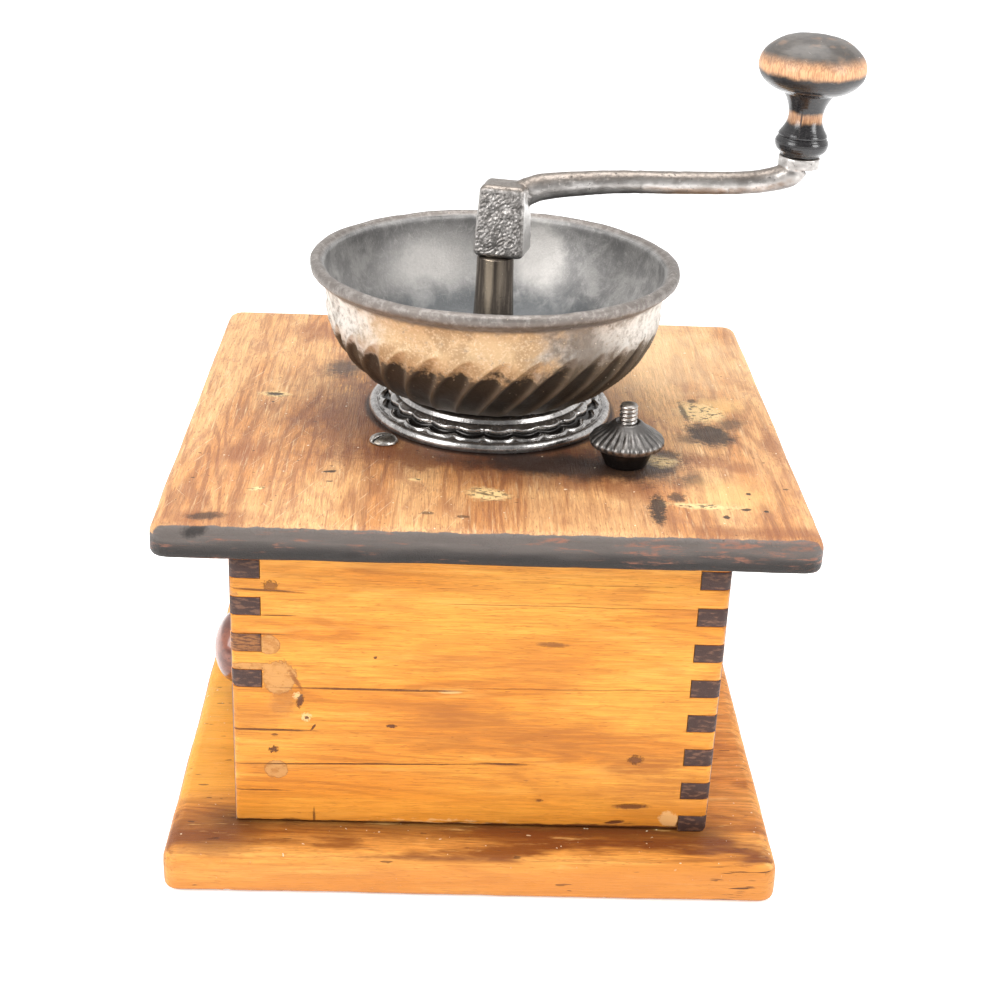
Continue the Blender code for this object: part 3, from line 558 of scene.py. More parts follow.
    colour = s.mix(colour, SOOT, burns * 0.9)
    chips = random_specks(s, 1.6, 28, 0.76, 0.79)
    colour = s.mix(colour, (0.92, 0.78, 0.58), chips * 0.9)
    away_x = s.x - ax
    away_y = s.y - ay
    reach = s.math("SQRT", away_x * away_x + away_y * away_y)
    colour = s.mix(colour, SOOT, s.step(reach, 43.6, 41.6) * 0.85)

    border = (s.noise((3.5, 3.5, 3), 4, 29, rough=0.62) - 0.5) * 1.7
    side_inset = s.math("MINIMUM", s.x - TOP_LOW.x, TOP_HIGH.x - s.x) + 1.7
    inset = s.math("MINIMUM", s.y - TOP_LOW.y, TOP_HIGH.y - s.y)
    inset = s.math("MINIMUM", side_inset, inset - s.step(s.x, 20, 90) * 0.5)
    painted = s.greatest(s.step(inset + border, 2.3, 1.8), s.step(s.z, DECK - 3.4, DECK - 4.0))
    depth = DECK - s.z + (s.noise((24, 24, 3), 3, 30) - 0.5) * 4
    paint = s.mix((0.120, 0.100, 0.089), (0.018, 0.014, 0.012), s.step(depth, 3.0, 8.5))
    paint = s.darken(paint, 0.75 + s.noise((18, 18, 1.4), 4, 50, rough=0.65) * 0.5)
    more_at_sides = s.step(s.x, 10, 55) * 0.09 + s.step(s.x, -35, -70) * 0.03
    more_above = s.step(s.z, DECK - 9.0, DECK - 6.5) * 0.05
    flaking = s.noise((14, 14, 1.6), 5, 31, rough=0.6, warp=0.5)
    bare = s.step(flaking + more_at_sides + more_above, 0.60, 0.76)
    paint = s.mix(paint, RED_WEAR, bare * s.mask(0.35, 0.6, (2.5, 2.5, 0.8), 3, 32) * 0.7)
    lines = s.mask(0.74, 0.79, (9, 9, 0.26), 2, 33, turn=(0, 38, 0))
    paint = s.mix(paint, (0.42, 0.39, 0.37), lines * 0.5)
    gouge = s.patch(s.x, s.z, (-84.0, DECK - 1.8), (3.4, 1.6), turn=12, edge=ragged + tiny * 0.4, soft=0.4)
    paint = s.mix(paint, (0.022, 0.017, 0.015), gouge * s.step(s.ny, -0.1, -0.4) * 0.9)
    colour = s.mix(colour, paint, painted)

    wear = s.greatest(stain, black)
    roughness = 0.42 + s.noise(5, 4, 34) * 0.22 - wear * 0.10 - painted * 0.08
    height = (
        wood.fibre * 0.10
        - wood.pores * 0.05
        - scuffs * 0.05
        + s.noise(1.1, 3, 35) * 0.07
        - burns * 0.25
        - pits * 0.45
        + knots * s.noise(1.3, 3, 36) * 0.35
        + chips * 0.12
        - lines * painted * 0.06
    )
    return s.finish(colour, roughness, height, specular_ior_level=0.3, coat_weight=0.12, coat_roughness=0.25)


def wall_finish(name, grain, seed, features=None, end_reach=(0.75, 0.9)):
    """Golden varnish over wood, dark on the end grain, where a normal turns along the grain by end_reach."""
    s = Surface(name)
    wood = Timber(s, grain, seed, end_reach)
    colour = wood.colour(s, GOLD, AMBER, RUST_BROWN, 0.85)
    deep = s.mask(0.52, 0.68, lengthwise(grain, 50, 9), 5, seed + 10, rough=0.62)
    colour = s.mix(colour, (0.46, 0.155, 0.024), deep * 0.5)
    glow = s.mask(0.52, 0.70, lengthwise(grain, 34, 3.5), 5, seed + 11, rough=0.6)
    colour = s.mix(colour, (0.90, 0.44, 0.09), glow * 0.42)
    marks = s.mask(0.735, 0.77, lengthwise(grain, 6, 0.8), 2, seed + 12)
    colour = s.mix(colour, (0.22, 0.07, 0.02), marks * 0.6)
    height = wood.fibre * 0.05 - wood.pores * 0.03 - marks * 0.08
    if features:
        colour, relief = features(s, colour)
        height = height + relief
    grime = s.noise(1.5, 4, seed + 13, rough=0.7)
    worn_end = s.mask(0.50, 0.68, (3, 3, 1.0), 4, seed + 14)
    ends = s.mix((0.064, 0.035, 0.029), (0.21, 0.104, 0.064), worn_end * 0.7)
    pale_end = s.patch(s.x, s.z, (-72.0, 80.5), (7.0, 3.6), soft=0.2)
    ribs = s.mask(0.42, 0.62, (3.0, 3.0, 0.6), 4, seed + 16)
    ends = s.mix(ends, s.mix((0.36, 0.145, 0.045), (0.14, 0.056, 0.026), ribs), pale_end * 0.8)
    ends = s.darken(ends, 0.70 + grime * 0.5)
    colour = s.mix(colour, ends, wood.end)
    roughness = 0.33 + s.noise(7, 4, seed + 15) * 0.16 + wood.end * 0.12
    height = height + wood.end * grime * 0.12
    return s.finish(colour, roughness, height, specular_ior_level=0.2, coat_weight=0.08, coat_roughness=0.2)


def front_wall_features(s, colour):
    """Plugs, filler, cracks and chips of the side that the camera sees, placed by X and Z."""
    ragged = (s.noise(2.2, 4, 61, rough=0.65) - 0.5) * 0.9
    tiny = (s.noise(0.8, 4, 60, rough=0.7) - 0.5) * 3.2
    loose = (s.noise((10, 10, 5), 5, 66, rough=0.6) - 0.5) * 1.8
    front = s.step(s.ny, -0.4, -0.8)

    def oval(x, z, wide, high, turn=0.0, edge=0.6, soft=0.3):
        noise_edge = tiny if wide < 2.3 else ragged + tiny * 0.25
        return s.patch(s.x, s.z, (x, z), (wide, high), turn=turn, edge=noise_edge * edge, soft=soft)

    def shadow(x, z, wide, high, share, turn=0.0, soft=0.7):
        return s.patch(s.x, s.z, (x, z), (wide, high), turn=turn, edge=loose, soft=soft) * share

    shade = s.greatest(
        shadow(54.0, 40.5, 13.0, 4.2, 0.75, turn=3, soft=0.6),
        shadow(22.0, 49.5, 34.0, 6.5, 0.60, turn=-2),
        shadow(-6.0, 56.5, 13.0, 5.0, 0.70),
        shadow(-48.0, 72.0, 8.0, 3.0, 0.35),
        shadow(-71.0, 55.0, 9.0, 5.0, 0.45),
        shadow(62.0, 28.0, 16.0, 11.0, 0.55),
        shadow(-9.0, 75.0, 9.0, 2.6, 0.35),
    )
    streaky = s.mask(0.36, 0.60, (16, 16, 0.9), 4, 70, rough=0.65)
    colour = s.mix(colour, (0.36, 0.120, 0.020), shade * front * (0.6 + streaky * 0.7))
    colour = s.mix(colour, (0.48, 0.165, 0.026), streaky * front * 0.20)
    warm = s.step(s.z + (s.noise((30, 30, 8), 3, 67) - 0.5) * 22, 36, 20) * front
    colour = s.mix(colour, (0.80, 0.310, 0.035), warm * 0.35)

    plugs = s.greatest(
        oval(-64.5, 80.5, 3.3, 3.3, edge=0.35, soft=0.1),
        oval(-62.9, 35.3, 3.7, 3.3, edge=0.45, soft=0.1),
    )
    filler = s.greatest(
        oval(-61.5, 69.0, 5.2, 6.0, turn=-12, edge=0.7, soft=0.1),
        oval(-69.0, 72.6, 8.5, 1.4, edge=0.5, soft=0.15),
        oval(-60.5, 59.5, 4.2, 4.6, edge=0.9, soft=0.5) * 0.30,
        oval(-75.5, 97.5, 1.8, 1.1, edge=0.9, soft=0.2) * 0.7,
    )
    # pale marks in the wood, and one painted highlight: the first oval, on the lip of the small hole at
    # (-55.1, 60.6)
    pale_marks_and_highlight = s.greatest(
        oval(-55.9, 62.4, 1.3, 1.2, edge=0.9, soft=0.2),
        oval(-53.3, 54.8, 1.5, 1.5, edge=0.9, soft=0.2),
        oval(-8.5, 65.2, 3.2, 0.6, edge=1.0, soft=0.4) * 0.7,
        oval(64.0, 19.2, 3.6, 2.8, turn=-30, edge=1.3, soft=0.2) * 0.8,
    )
    cover = s.greatest(plugs, filler)
    rim = s.step(s.math("ABSOLUTE", cover - 0.5), 0.45, 0.15)
    mottle = s.mask(0.46, 0.62, (3.2, 3.2, 2.2), 4, 68, rough=0.65)
    patched = s.mix((0.52, 0.262, 0.086), (0.38, 0.160, 0.042), mottle * 0.85)
    colour = s.mix(colour, patched, cover * front * 0.85)
    colour = s.mix(colour, (0.80, 0.50, 0.22), pale_marks_and_highlight * front * 0.8)
    seams = s.greatest(oval(-56.4, 68.0, 0.7, 3.4, turn=28, edge=0.8, soft=0.5), rim * 0.45)
    colour = s.mix(colour, (0.24, 0.075, 0.018), seams * front * 0.8)

    bend = (s.noise((26, 26, 26), 2, 62) - 0.5) * 1.2
    broken = s.mask(0.22, 0.40, (5, 5, 2), 3, 69, rough=0.6)

    def crack(x, z, long, wide, turn=0.0, share=1.0):
        line = s.patch(s.x, s.z + bend, (x, z), (long, wide), turn=turn, edge=ragged * 0.8, soft=0.55)
        return line * (broken * share)

    cracks = s.greatest(
        crack(-37.0, 65.5, 20.0, 0.34, 0.2),
        crack(-17.0, 65.3, 12.0, 0.24, 0.8),
        crack(30.0, 67.0, 36.0, 0.20, 1.0, 0.5),
        crack(-65.0, 49.8, 13.5, 0.34),
        oval(-51.0, 51.2, 1.4, 0.35, turn=58, edge=0.6),
        crack(-38.0, 37.7, 37.0, 0.22, 1.2),
        crack(9.5, 39.0, 8.0, 0.36, 0.8),
        crack(-68.0, 27.1, 8.5, 0.28, share=0.8),
        crack(-65.5, 99.4, 10.5, 0.32, -2, 0.9),
        crack(-68.0, 84.2, 9.0, 0.26, 1, 0.7),
        crack(-61.6, 90.9, 5.4, 0.20, 1, 0.8),
        crack(30.0, 96.3, 44.0, 0.12, 0, 0.5),
        crack(40.0, 104.0, 30.0, 0.12, 0, 0.35),
        oval(-55.1, 60.6, 0.9, 2.2, turn=-12, edge=0.7),
    )
    spots = s.greatest(
        oval(-63.6, 42.6, 1.3, 1.0, edge=1.4, soft=0.3),
        oval(-63.2, 48.1, 1.0, 0.35, soft=0.5) * 0.8,
        oval(-26.5, 52.2, 1.5, 0.6),
        oval(-31.7, 76.9, 0.45, 0.45),
        oval(-63.7, 101.0, 2.0, 1.4, edge=1.2) * 0.7,
        oval(-53.1, 54.6, 0.6, 0.55),
        oval(-51.0, 17.0, 0.35, 3.2, soft=0.5) * 0.8,
        oval(22.8, 83.0, 4.4, 0.8, turn=-3, edge=1.0, soft=0.5) * 0.65,
        oval(51.5, 41.7, 2.0, 1.4, edge=1.2, soft=0.4) * 0.85,
        oval(51.5, 23.9, 5.2, 0.95, turn=2, edge=1.0, soft=0.4) * 0.9,
        oval(46.2, 17.6, 3.0, 0.6, turn=8, edge=0.9, soft=0.4),
        oval(21.4, 25.4, 1.0, 0.5, soft=0.5) * 0.8,
        oval(67.0, 18.4, 0.35, 2.2, turn=-16, edge=0.8),
    )
    pits = cover * s.mask(0.68, 0.74, 1.3, 2, 63)
    foot_line = WALL_LOW.z + 1.0 + s.step(s.x, -40, 60) * 0.7
    foot = s.step(s.z + (s.noise((9, 9, 2), 4, 64) - 0.5) * 5 - foot_line, 0.8, -0.4)
    splinters = oval(-10, WALL_LOW.z + 1.4, 20, 1.3, edge=2.0, soft=0.4)
    splinters = splinters * s.mask(0.48, 0.58, (4, 4, 0.8), 3, 65)
    colour = s.mix(colour, (0.84, 0.50, 0.20), splinters * front * 0.85)
    dark = s.greatest(cracks, spots, pits * 0.6) * front
    colour = s.mix(colour, (0.10, 0.032, 0.014), s.greatest(dark * 0.92, foot * 0.9))
    edge = s.math("MINIMUM", s.x - WALL_LOW.x, WALL_HIGH.x - s.x)
    # painted highlight: a pale greyish line down both end edges of the front wall, where the rounded corners
    # catch the light
    painted_edge_highlight = s.step(edge + ragged, 0.70, 0.25)
    colour = s.mix(colour, (0.46, 0.36, 0.31), painted_edge_highlight * 0.6)
    return colour, cover * 0.05 + pale_marks_and_highlight * 0.05 - rim * 0.06 - dark * 0.30


def base_board_finish():
    """Grain along X; a dark stain follows the foot of the box, and the front edge is brighter."""
    s = Surface("base_board_wood")
    wood = Timber(s, "x", 5)
    wavy = (s.noise((14, 8, 8), 4, 41, rough=0.6) - 0.5) * 10.0
    colour = wood.colour(s, (0.84, 0.385, 0.085), (0.70, 0.265, 0.040), (0.30, 0.092, 0.017))
    out_x = s.math("ABSOLUTE", s.x) - WALL_HIGH.x
    out_y = s.math("ABSOLUTE", s.y) + WALL_LOW.y
    outside = s.greatest(out_x, out_y) + wavy
    top = s.step(s.nz, 0.4, 0.8)
    front = s.step(s.y, WALL_LOW.y + 12, WALL_LOW.y - 2)
    right = s.step(s.x, -40, 40)
    golden = top * s.step(s.x, -60, -80) * s.step(s.y, -75, -55)
    colour = s.mix(colour, (0.90, 0.45, 0.050), golden * 0.68)
    stain = top * s.step(outside, 14.0, 0.0) * (0.14 + front * (0.56 + right * 0.12))
    corner = s.patch(s.x, s.y, (-84, -85), (17, 11), edge=wavy * 0.06, soft=0.5) * top
    colour = s.mix(colour, (0.18, 0.056, 0.014), corner * 0.7)
    colour = s.mix(colour, (0.075, 0.022, 0.008), stain * 0.85)
    brown = top * s.mask(0.44, 0.62, (40, 9, 9), 4, 42, rough=0.6)
    brown = brown * (0.10 + front * (0.66 + right * 0.22))
    colour = s.mix(colour, (0.20, 0.056, 0.012), brown)
    pale = s.mask(0.60, 0.72, (16, 3, 3), 4, 43, rough=0.6)
    colour = s.mix(colour, (0.86, 0.50, 0.17), pale * 0.5)
    edge = s.step(s.math("ABSOLUTE", s.ny), 0.5, 0.8)
    colour = s.mix(colour, (0.60, 0.225, 0.040), edge * (0.45 + wood.tone * 0.4))
    splits = edge * s.step(s.x, 70, 84) * s.mask(0.62, 0.67, (12, 12, 0.7), 2, 44)
    marks = s.mask(0.70, 0.74, (8, 1.6, 1.6), 2, 45)
    chips = random_specks(s, 1.5, 46, 0.755, 0.785)
    dark = s.greatest(splits, marks * 0.7, s.step(s.z, 1.6, 0.7) * 0.5)
    colour = s.mix(colour, (0.05, 0.018, 0.010), dark * 0.85)
    colour = s.mix(colour, (0.92, 0.76, 0.52), chips * (1 - edge * 0.8) * 0.85)
    ends = wood.end * (1 - edge)
    colour = s.mix(colour, (0.30, 0.12, 0.045), ends * 0.5)
    roughness = 0.40 + s.noise(6, 4, 47) * 0.2
    height = wood.fibre * 0.08 - wood.pores * 0.05 - dark * 0.25 + chips * 0.15 + s.noise(2.0, 3, 48) * 0.08
    return s.finish(colour, roughness, height, specular_ior_level=0.25, coat_weight=0.1, coat_roughness=0.25)


def bare_wood_finish(name, grain, seed, dark=0.0):
    """Plain unvarnished wood of the drawer's hidden sides and floor."""
    s = Surface(name)
    wood = Timber(s, grain, seed)
    colour = wood.colour(s, (0.62, 0.42, 0.22), (0.55, 0.33, 0.15), (0.30, 0.15, 0.06))
    dust = s.mask(0.45, 0.70, 12, 5, seed + 9, rough=0.65)
    colour = s.mix(colour, (0.14, 0.07, 0.035), dust * (0.35 + dark))
    height = wood.fibre * 0.12 - wood.pores * 0.06 + s.noise(0.9, 2, seed + 8) * 0.05
    return s.finish(colour, 0.6 + wood.fibre * 0.2, height)


def hopper_finish():
    """Cast iron: worn bronze paint on the front of the upper band, with a painted sheen at its sides and
    painted shade on its right and under the rim; darker flutes with painted highlights on their ridges;
    scoured grey inside with painted reflections.
    """
    s = Surface("hopper_cast_iron")
    away_x = s.x - AXIS.x
    away_y = s.y - AXIS.y
    reach = s.math("SQRT", away_x * away_x + away_y * away_y)
    side = away_x / reach
    inward = s.step((s.nx * away_x + s.ny * away_y) / reach, 0.05, -0.15)
    under_rim = s.step(s.z, RIM_TOP - 0.5, RIM_TOP - 1.5)
    throat = s.step(s.z, 133, 131) * s.step(reach, 27, 26)
    inside = s.greatest(inward * under_rim, throat)
    lift = s.lift()
    grit = s.noise(0.8, 4, 71, rough=0.7)
    blotch = s.noise(9, 5, 72, rough=0.62, warp=0.4)
    small = s.noise(2.6, 5, 73, rough=0.7)

    # darker down into the flute hollows
    iron = s.mix((0.135, 0.109, 0.080), (0.042, 0.034, 0.026), s.step(lift, 0.1, -1.1))
    # painted highlight: a lighter tint along the flute ridges
    iron = s.mix(iron, (0.17, 0.132, 0.090), s.step(lift, 0.06, 0.40) * s.step(small, 0.42, 0.62) * 0.5)
    iron = s.mix(iron, (0.36, 0.26, 0.15), s.step(small, 0.55, 0.68) * s.step(s.z, 152, 162) * 0.6)
    gold = s.mix((0.60, 0.415, 0.235), (0.44, 0.295, 0.160), s.step(blotch, 0.42, 0.60))
    gold = s.mix(gold, (0.74, 0.58, 0.40), s.step(grit + (small - 0.5) * 0.6, 0.50, 0.64) * 0.6)
    tarnish = s.step(small + (blotch - 0.5) * 0.6, 0.42, 0.66)
    # painted reflection: a pale sheen on the sides of the band where the bowl turns away from the camera,
    # mottled by tarnish
    painted_side_sheen = s.mix((0.66, 0.615, 0.56), (0.42, 0.380, 0.335), tarnish)
    from_left = s.step(side + (blotch - 0.5) * 0.5, -0.82, -0.58)
    front = from_left * s.step(side + (blotch - 0.5) * 0.8, 0.50, 0.22)
    front = front * s.step(away_y / reach, 0.15, -0.2)
    # paint holds the bronze at the front and the painted sheen at the sides
    paint = s.mix(painted_side_sheen, gold, front)
    # painted shade: darkens the right of the band, a band just under the rim bead and patches at the far
    # left
    shadow_edge = (blotch - 0.5) * 0.7 + (small - 0.5) * 0.5
    painted_shade_on_bowl = s.step(side + shadow_edge * 0.5, 0.20, 0.48)
    painted_shade_on_bowl = painted_shade_on_bowl * s.step(side + (s.z - 160) * 0.022 + shadow_edge, 0.94, 0.66)
    painted_shade_on_bowl = s.greatest(painted_shade_on_bowl * 0.95, s.step(s.z + (small - 0.5) * 4, 172.2, 174.2) * 0.6)
    painted_shade_on_bowl = s.greatest(painted_shade_on_bowl, s.step(side, -0.72, -0.98) * s.step(small, 0.50, 0.62) * 0.6)
    painted_shade_on_bowl = painted_shade_on_bowl * s.step(away_y / reach, 0.35, -0.05)
    paint = s.mix(paint, (0.115, 0.090, 0.068), painted_shade_on_bowl * 0.85)
    paint = s.mix(paint, (0.17, 0.13, 0.095), s.step(small + (grit - 0.5) * 0.5, 0.60, 0.72) * 0.6)
    height = s.z + lift * 1.6 - s.step(side, 0.20, 0.55) * 4.5
    band = s.step(height + (blotch - 0.5) * 12 + (small - 0.5) * 14, 155.4, 159.2)
    outer = s.mix(iron, paint, band * 0.95)
    lip = s.mix((0.17, 0.148, 0.132), (0.27, 0.245, 0.225), s.step(small, 0.44, 0.64))
    outer = s.mix(outer, lip, s.step(s.z, 173.2, 174.6))

    grey = s.mix((0.27, 0.262, 0.256), (0.40, 0.388, 0.374), s.step(blotch, 0.40, 0.62))
    grey = s.darken(grey, (0.70 + small * 0.60) * (1 - s.step(s.z, 166, 177) * 0.25))
    soft_edge = (blotch - 0.5) * 2.4 + (small - 0.5) * 1.3
    # painted reflections: two soft pale patches on the inner wall, left and right of the spindle
    painted_reflections = s.greatest(
        s.patch(s.x, s.z, (AXIS.x - 21, 163), (13, 9), edge=soft_edge, soft=0.7) * 0.70,
        s.patch(s.x, s.z, (AXIS.x + 17, 166), (8.5, 12), edge=soft_edge * 0.5, soft=0.35) * 0.85,
    ) * s.step(away_y, 0, 10)
    grey = s.mix(grey, (0.58, 0.555, 0.525), painted_reflections)
    grey = s.mix(grey, (0.085, 0.092, 0.097), s.step(s.z + (blotch - 0.5) * 14, 160, 149) * 0.85)
    scours = s.greatest(
        s.mask(0.58, 0.70, (0.35, 3, 3), 2, 76, turn=(30, 20, 40)),
        s.mask(0.58, 0.70, (3, 0.35, 3), 2, 77, turn=(10, 50, 25)),
    )
    grey = s.mix(grey, (0.58, 0.56, 0.53), scours * s.step(s.z, 146, 162) * 0.24)
    grey = s.mix(grey, (0.10, 0.09, 0.08), s.step(small, 0.66, 0.78) * 0.4)
    colour = s.mix(outer, grey, inside)
    colour = s.darken(colour, 0.82 + grit * 0.36)
    flecks = random_specks(s, 1.0, 75, 0.745, 0.78) * (1 - inside)
    colour = s.mix(colour, (0.7, 0.6, 0.48), flecks * 0.6)
    roughness = 0.34 + small * 0.22 + inside * 0.10
    height = grit * 0.13 + small * 0.18 * (1 - inside * 0.6) + flecks * 0.1
    return s.finish(colour, roughness, height, metallic=0.6)


def iron_finish(name, dark, light, seed, roughness, grain=1.6, metallic=0.8, hollow=None, black_under=None):
    """Handled cast iron or steel, with fine pits.

    hollow is the lift under which the relief turns nearly black; black_under is the height under which all
    is black.
    """
    s = Surface(name)
    broad = s.noise(grain * 5, 4, seed, rough=0.6)
    fine = s.noise(grain, 4, seed + 1, rough=0.65)
    grit = s.noise(0.5, 3, seed + 2, rough=0.7)
    colour = s.mix(dark, light, s.step(broad * 0.6 + fine * 0.4, 0.40, 0.62))
    pits = s.mask(0.66, 0.74, grain * 0.6, 2, seed + 3)
    colour = s.darken(colour, 1.0 - pits * 0.45)
    rust = s.mask(0.60, 0.72, grain * 3, 5, seed + 4, rough=0.7)
    colour = s.mix(colour, (0.15, 0.080, 0.045), rust * 0.22)
    if hollow is not None:
        colour = s.mix(colour, (0.016, 0.014, 0.013), s.step(s.lift(), hollow + 0.25, hollow - 0.15) * 0.92)
    if black_under is not None:
        below = s.step(s.z, black_under + 0.4, black_under - 0.4)
        colour = s.mix(colour, (0.020, 0.017, 0.016), below * 0.9)
    height = fine * 0.08 + grit * 0.03 - pits * 0.06
    return s.finish(colour, roughness + fine * 0.18, height, metallic=metallic)


def spindle_finish():
    """Oiled steel with painted highlights: a pale streak down the side that faces the light, and a fainter
    one beside it.
    """
    s = Surface("spindle_steel")
    broad = s.noise((1.2, 1.2, 14), 4, 131, rough=0.6)
    fine = s.noise(0.9, 4, 132, rough=0.65)
    colour = s.mix((0.15, 0.125, 0.105), (0.28, 0.235, 0.195), s.step(broad, 0.42, 0.60))
    front = s.step(s.ny, -0.2, -0.6)
    # painted highlights: two pale vertical streaks on the front of the shaft stand in for reflections of the
    # lamps
    painted_highlight_left = s.patch(s.x, s.z, (AXIS.x - 2.1, 177), (1.25, 14), edge=(fine - 0.5) * 0.5, soft=0.5)
    painted_highlight_right = s.patch(s.x, s.z, (AXIS.x + 1.6, 176), (1.0, 9), edge=(fine - 0.5) * 0.5, soft=0.6)
    colour = s.mix(colour, (0.86, 0.72, 0.55), painted_highlight_left * front * 0.75)
    colour = s.mix(colour, (0.60, 0.51, 0.40), painted_highlight_right * front * 0.5)
    pits = s.mask(0.68, 0.76, 0.9, 2, 133)
    colour = s.darken(colour, 1.0 - pits * 0.4)
    return s.finish(colour, 0.16 + fine * 0.16, fine * 0.05 - pits * 0.06, metallic=0.9)


def crank_finish():
    """Worn iron: a painted highlight on the hub's right side, brown-grey on top, painted shade underneath,
    and darker on the chiselled face.
    """
    s = Surface("crank_iron")
    fine = s.noise(1.2, 4, 91, rough=0.65)
    broad = s.noise((9, 5, 5), 4, 92, rough=0.6)
    grit = s.noise(0.45, 3, 93, rough=0.7)
    colour = s.mix((0.36, 0.338, 0.320), (0.58, 0.552, 0.53), s.step(broad, 0.42, 0.60))
    top = s.step(s.nz, 0.15, 0.7)
    tan = s.mix((0.21, 0.175, 0.148), (0.13, 0.108, 0.090), s.step(fine, 0.45, 0.62))
    colour = s.mix(colour, tan, top * 0.9)
    # painted highlight: the hub's right side is made a very pale grey where the light falls on it
    side = s.step(s.nx, 0.6, 0.9) * s.step(s.x, AXIS.x + 14, AXIS.x + 12)
    colour = s.mix(colour, (0.86, 0.84, 0.82), side * 0.8)
    # painted shade: faces that look downwards are darkened
    under = s.step(s.nz, -0.45, -0.8)
    colour = s.mix(colour, (0.06, 0.052, 0.047), under * 0.7)
    pits = s.mask(0.62, 0.72, 0.9, 3, 94)
    colour = s.darken(colour, 1.0 - pits * 0.5)
    height = fine * 0.07 + grit * 0.05 - pits * 0.08
    below_top = s.step(s.z, HUB_HIGH - 0.5, HUB_HIGH - 2)
    chiselled = s.step(s.ny, -0.55, -0.8) * below_top * s.step(s.x, AXIS.x + 12, AXIS.x + 9)
    colour = s.mix(colour, (0.13, 0.120, 0.112), chiselled * s.step(fine, 0.38, 0.60) * 0.75)
    return s.finish(colour, 0.24 + fine * 0.22 + chiselled * 0.12, height, metallic=0.9)


def knob_finish():
    """Black paint on turned wood, worn through to bare wood round the widest part and at the waist."""
    s = Surface("crank_knob_paint")
    lift = s.z - KNOB_FOOT.z
    away_x = s.x - KNOB_FOOT.x
    away_y = s.y - KNOB_FOOT.y
    around = s.math("ARCTAN2", away_y, away_x)
    wave = (s.noise(6, 5, 101, rough=0.62) - 0.5) * 6.5
    fine = s.noise(0.8, 4, 102, rough=0.7)
    strands = s.noise((0.35, 0.35, 6), 3, 103)
    dusty = s.mix((0.048, 0.040, 0.034), (0.084, 0.072, 0.062), s.mask(0.42, 0.62, 6, 4, 104))
    dusty = s.mix(dusty, (0.050, 0.042, 0.036), s.mask(0.52, 0.66, (4, 4, 0.6), 3, 105) * 0.6)
    dusty = s.mix(dusty, (0.28, 0.155, 0.085), s.mask(0.55, 0.70, (5, 5, 3), 4, 107) * 0.35)
    black = s.mix((0.014, 0.013, 0.014), (0.030, 0.028, 0.028), s.step(fine, 0.45, 0.65))
    colour = s.mix(black, dusty, s.step(lift + wave, 26.5, 31.5))
    bare = s.mix((0.82, 0.45, 0.225), (0.50, 0.235, 0.11), s.step(strands, 0.38, 0.62))
    belt = s.step(lift + wave * 0.5, 26.0, 28.0) * s.step(lift + wave * 0.5, 33.2, 28.9)
    waist = s.step(lift + wave * 0.5, 10.0, 11.8) * s.step(lift + wave * 0.5, 14.8, 13.0)
    colour = s.mix(colour, bare, s.greatest(belt * 0.92, waist * 0.60))
    crack = s.patch(around, lift, (-1.9, 11.5), (0.035, 3.4), edge=(fine - 0.5) * 0.8, soft=0.4)
    colour = s.mix(colour, (0.03, 0.02, 0.02), crack * 0.9)
    scratches = s.mask(0.70, 0.76, (5, 5, 0.35), 2, 106, turn=(20, 15, 30)) * s.step(lift, 25, 27)
    colour = s.mix(colour, (0.50, 0.46, 0.43), scratches * 0.5)
    roughness = 0.10 + s.step(lift, 22, 27) * 0.34 + fine * 0.08
    height = fine * 0.05 + strands * belt * 0.08 - crack * 0.3 - scratches * 0.04
    return s.finish(colour, roughness, height, specular_ior_level=0.5, coat_weight=0.15, coat_roughness=0.10)


def drawer_knob_finish():
    s = Surface("drawer_knob_wood")
    fine = s.noise((6, 0.5, 0.5), 3, 111)
    broad = s.noise((8, 4, 4), 4, 112)
    colour = s.mix((0.22, 0.070, 0.038), (0.11, 0.032, 0.020), s.step(broad, 0.42, 0.62))
    colour = s.darken(colour, 0.75 + fine * 0.5)
    nicks = random_specks(s, (1.2, 2.4, 1.2), 113, 0.70, 0.75)
    colour = s.mix(colour, (0.03, 0.012, 0.010), nicks * 0.7)
    height = fine * 0.04 - nicks * 0.15
    return s.finish(colour, 0.24 + broad * 0.12, height, coat_weight=0.6, coat_roughness=0.08)


# ---------------------------------------------------------------- pieces


def bowl_line(widest, neck, bottom, count, top=166.4):
    """(radius, height) at count + 1 points from the widest down to the neck."""
    angle = math.pi / 2 * (1 - np.arange(count + 1) / count)
    radius = neck + (widest - neck) * np.sin(angle) ** 1.4
    return np.stack([radius, bottom + (top - bottom) * (1 - np.cos(angle))], axis=1)


def flutes(angle, height):
    """Swirled hollows with arched, lipped tops: the lift of the outside of the bowl."""
    above_foot = height - FLUTE_FOOT
    rise = above_foot / FLUTE_HEIGHT
    phase = ((angle - FLUTE_SWIRL * above_foot) * BOWL_FLUTES / (2 * math.pi)) % 1.0
    across = np.abs(2 * phase - 1)
    arch = 0.96 - 0.34 * across**2.2
    foot = smooth_step(rise, 0.10, 0.40)
    hollow = -1.15 * (1 - across**3.2) * smooth_step(rise, arch, arch - 0.20)
    ridge = 0.36 * np.exp(-(((1 - across) / 0.15) ** 2)) * smooth_step(rise, 0.82, 0.55)
    lip = 0.36 * np.exp(-(((rise - arch - 0.02) / 0.036) ** 2)) * smooth_step(across, 0.98, 0.85)
    return (hollow + np.maximum(ridge, lip)) * foot


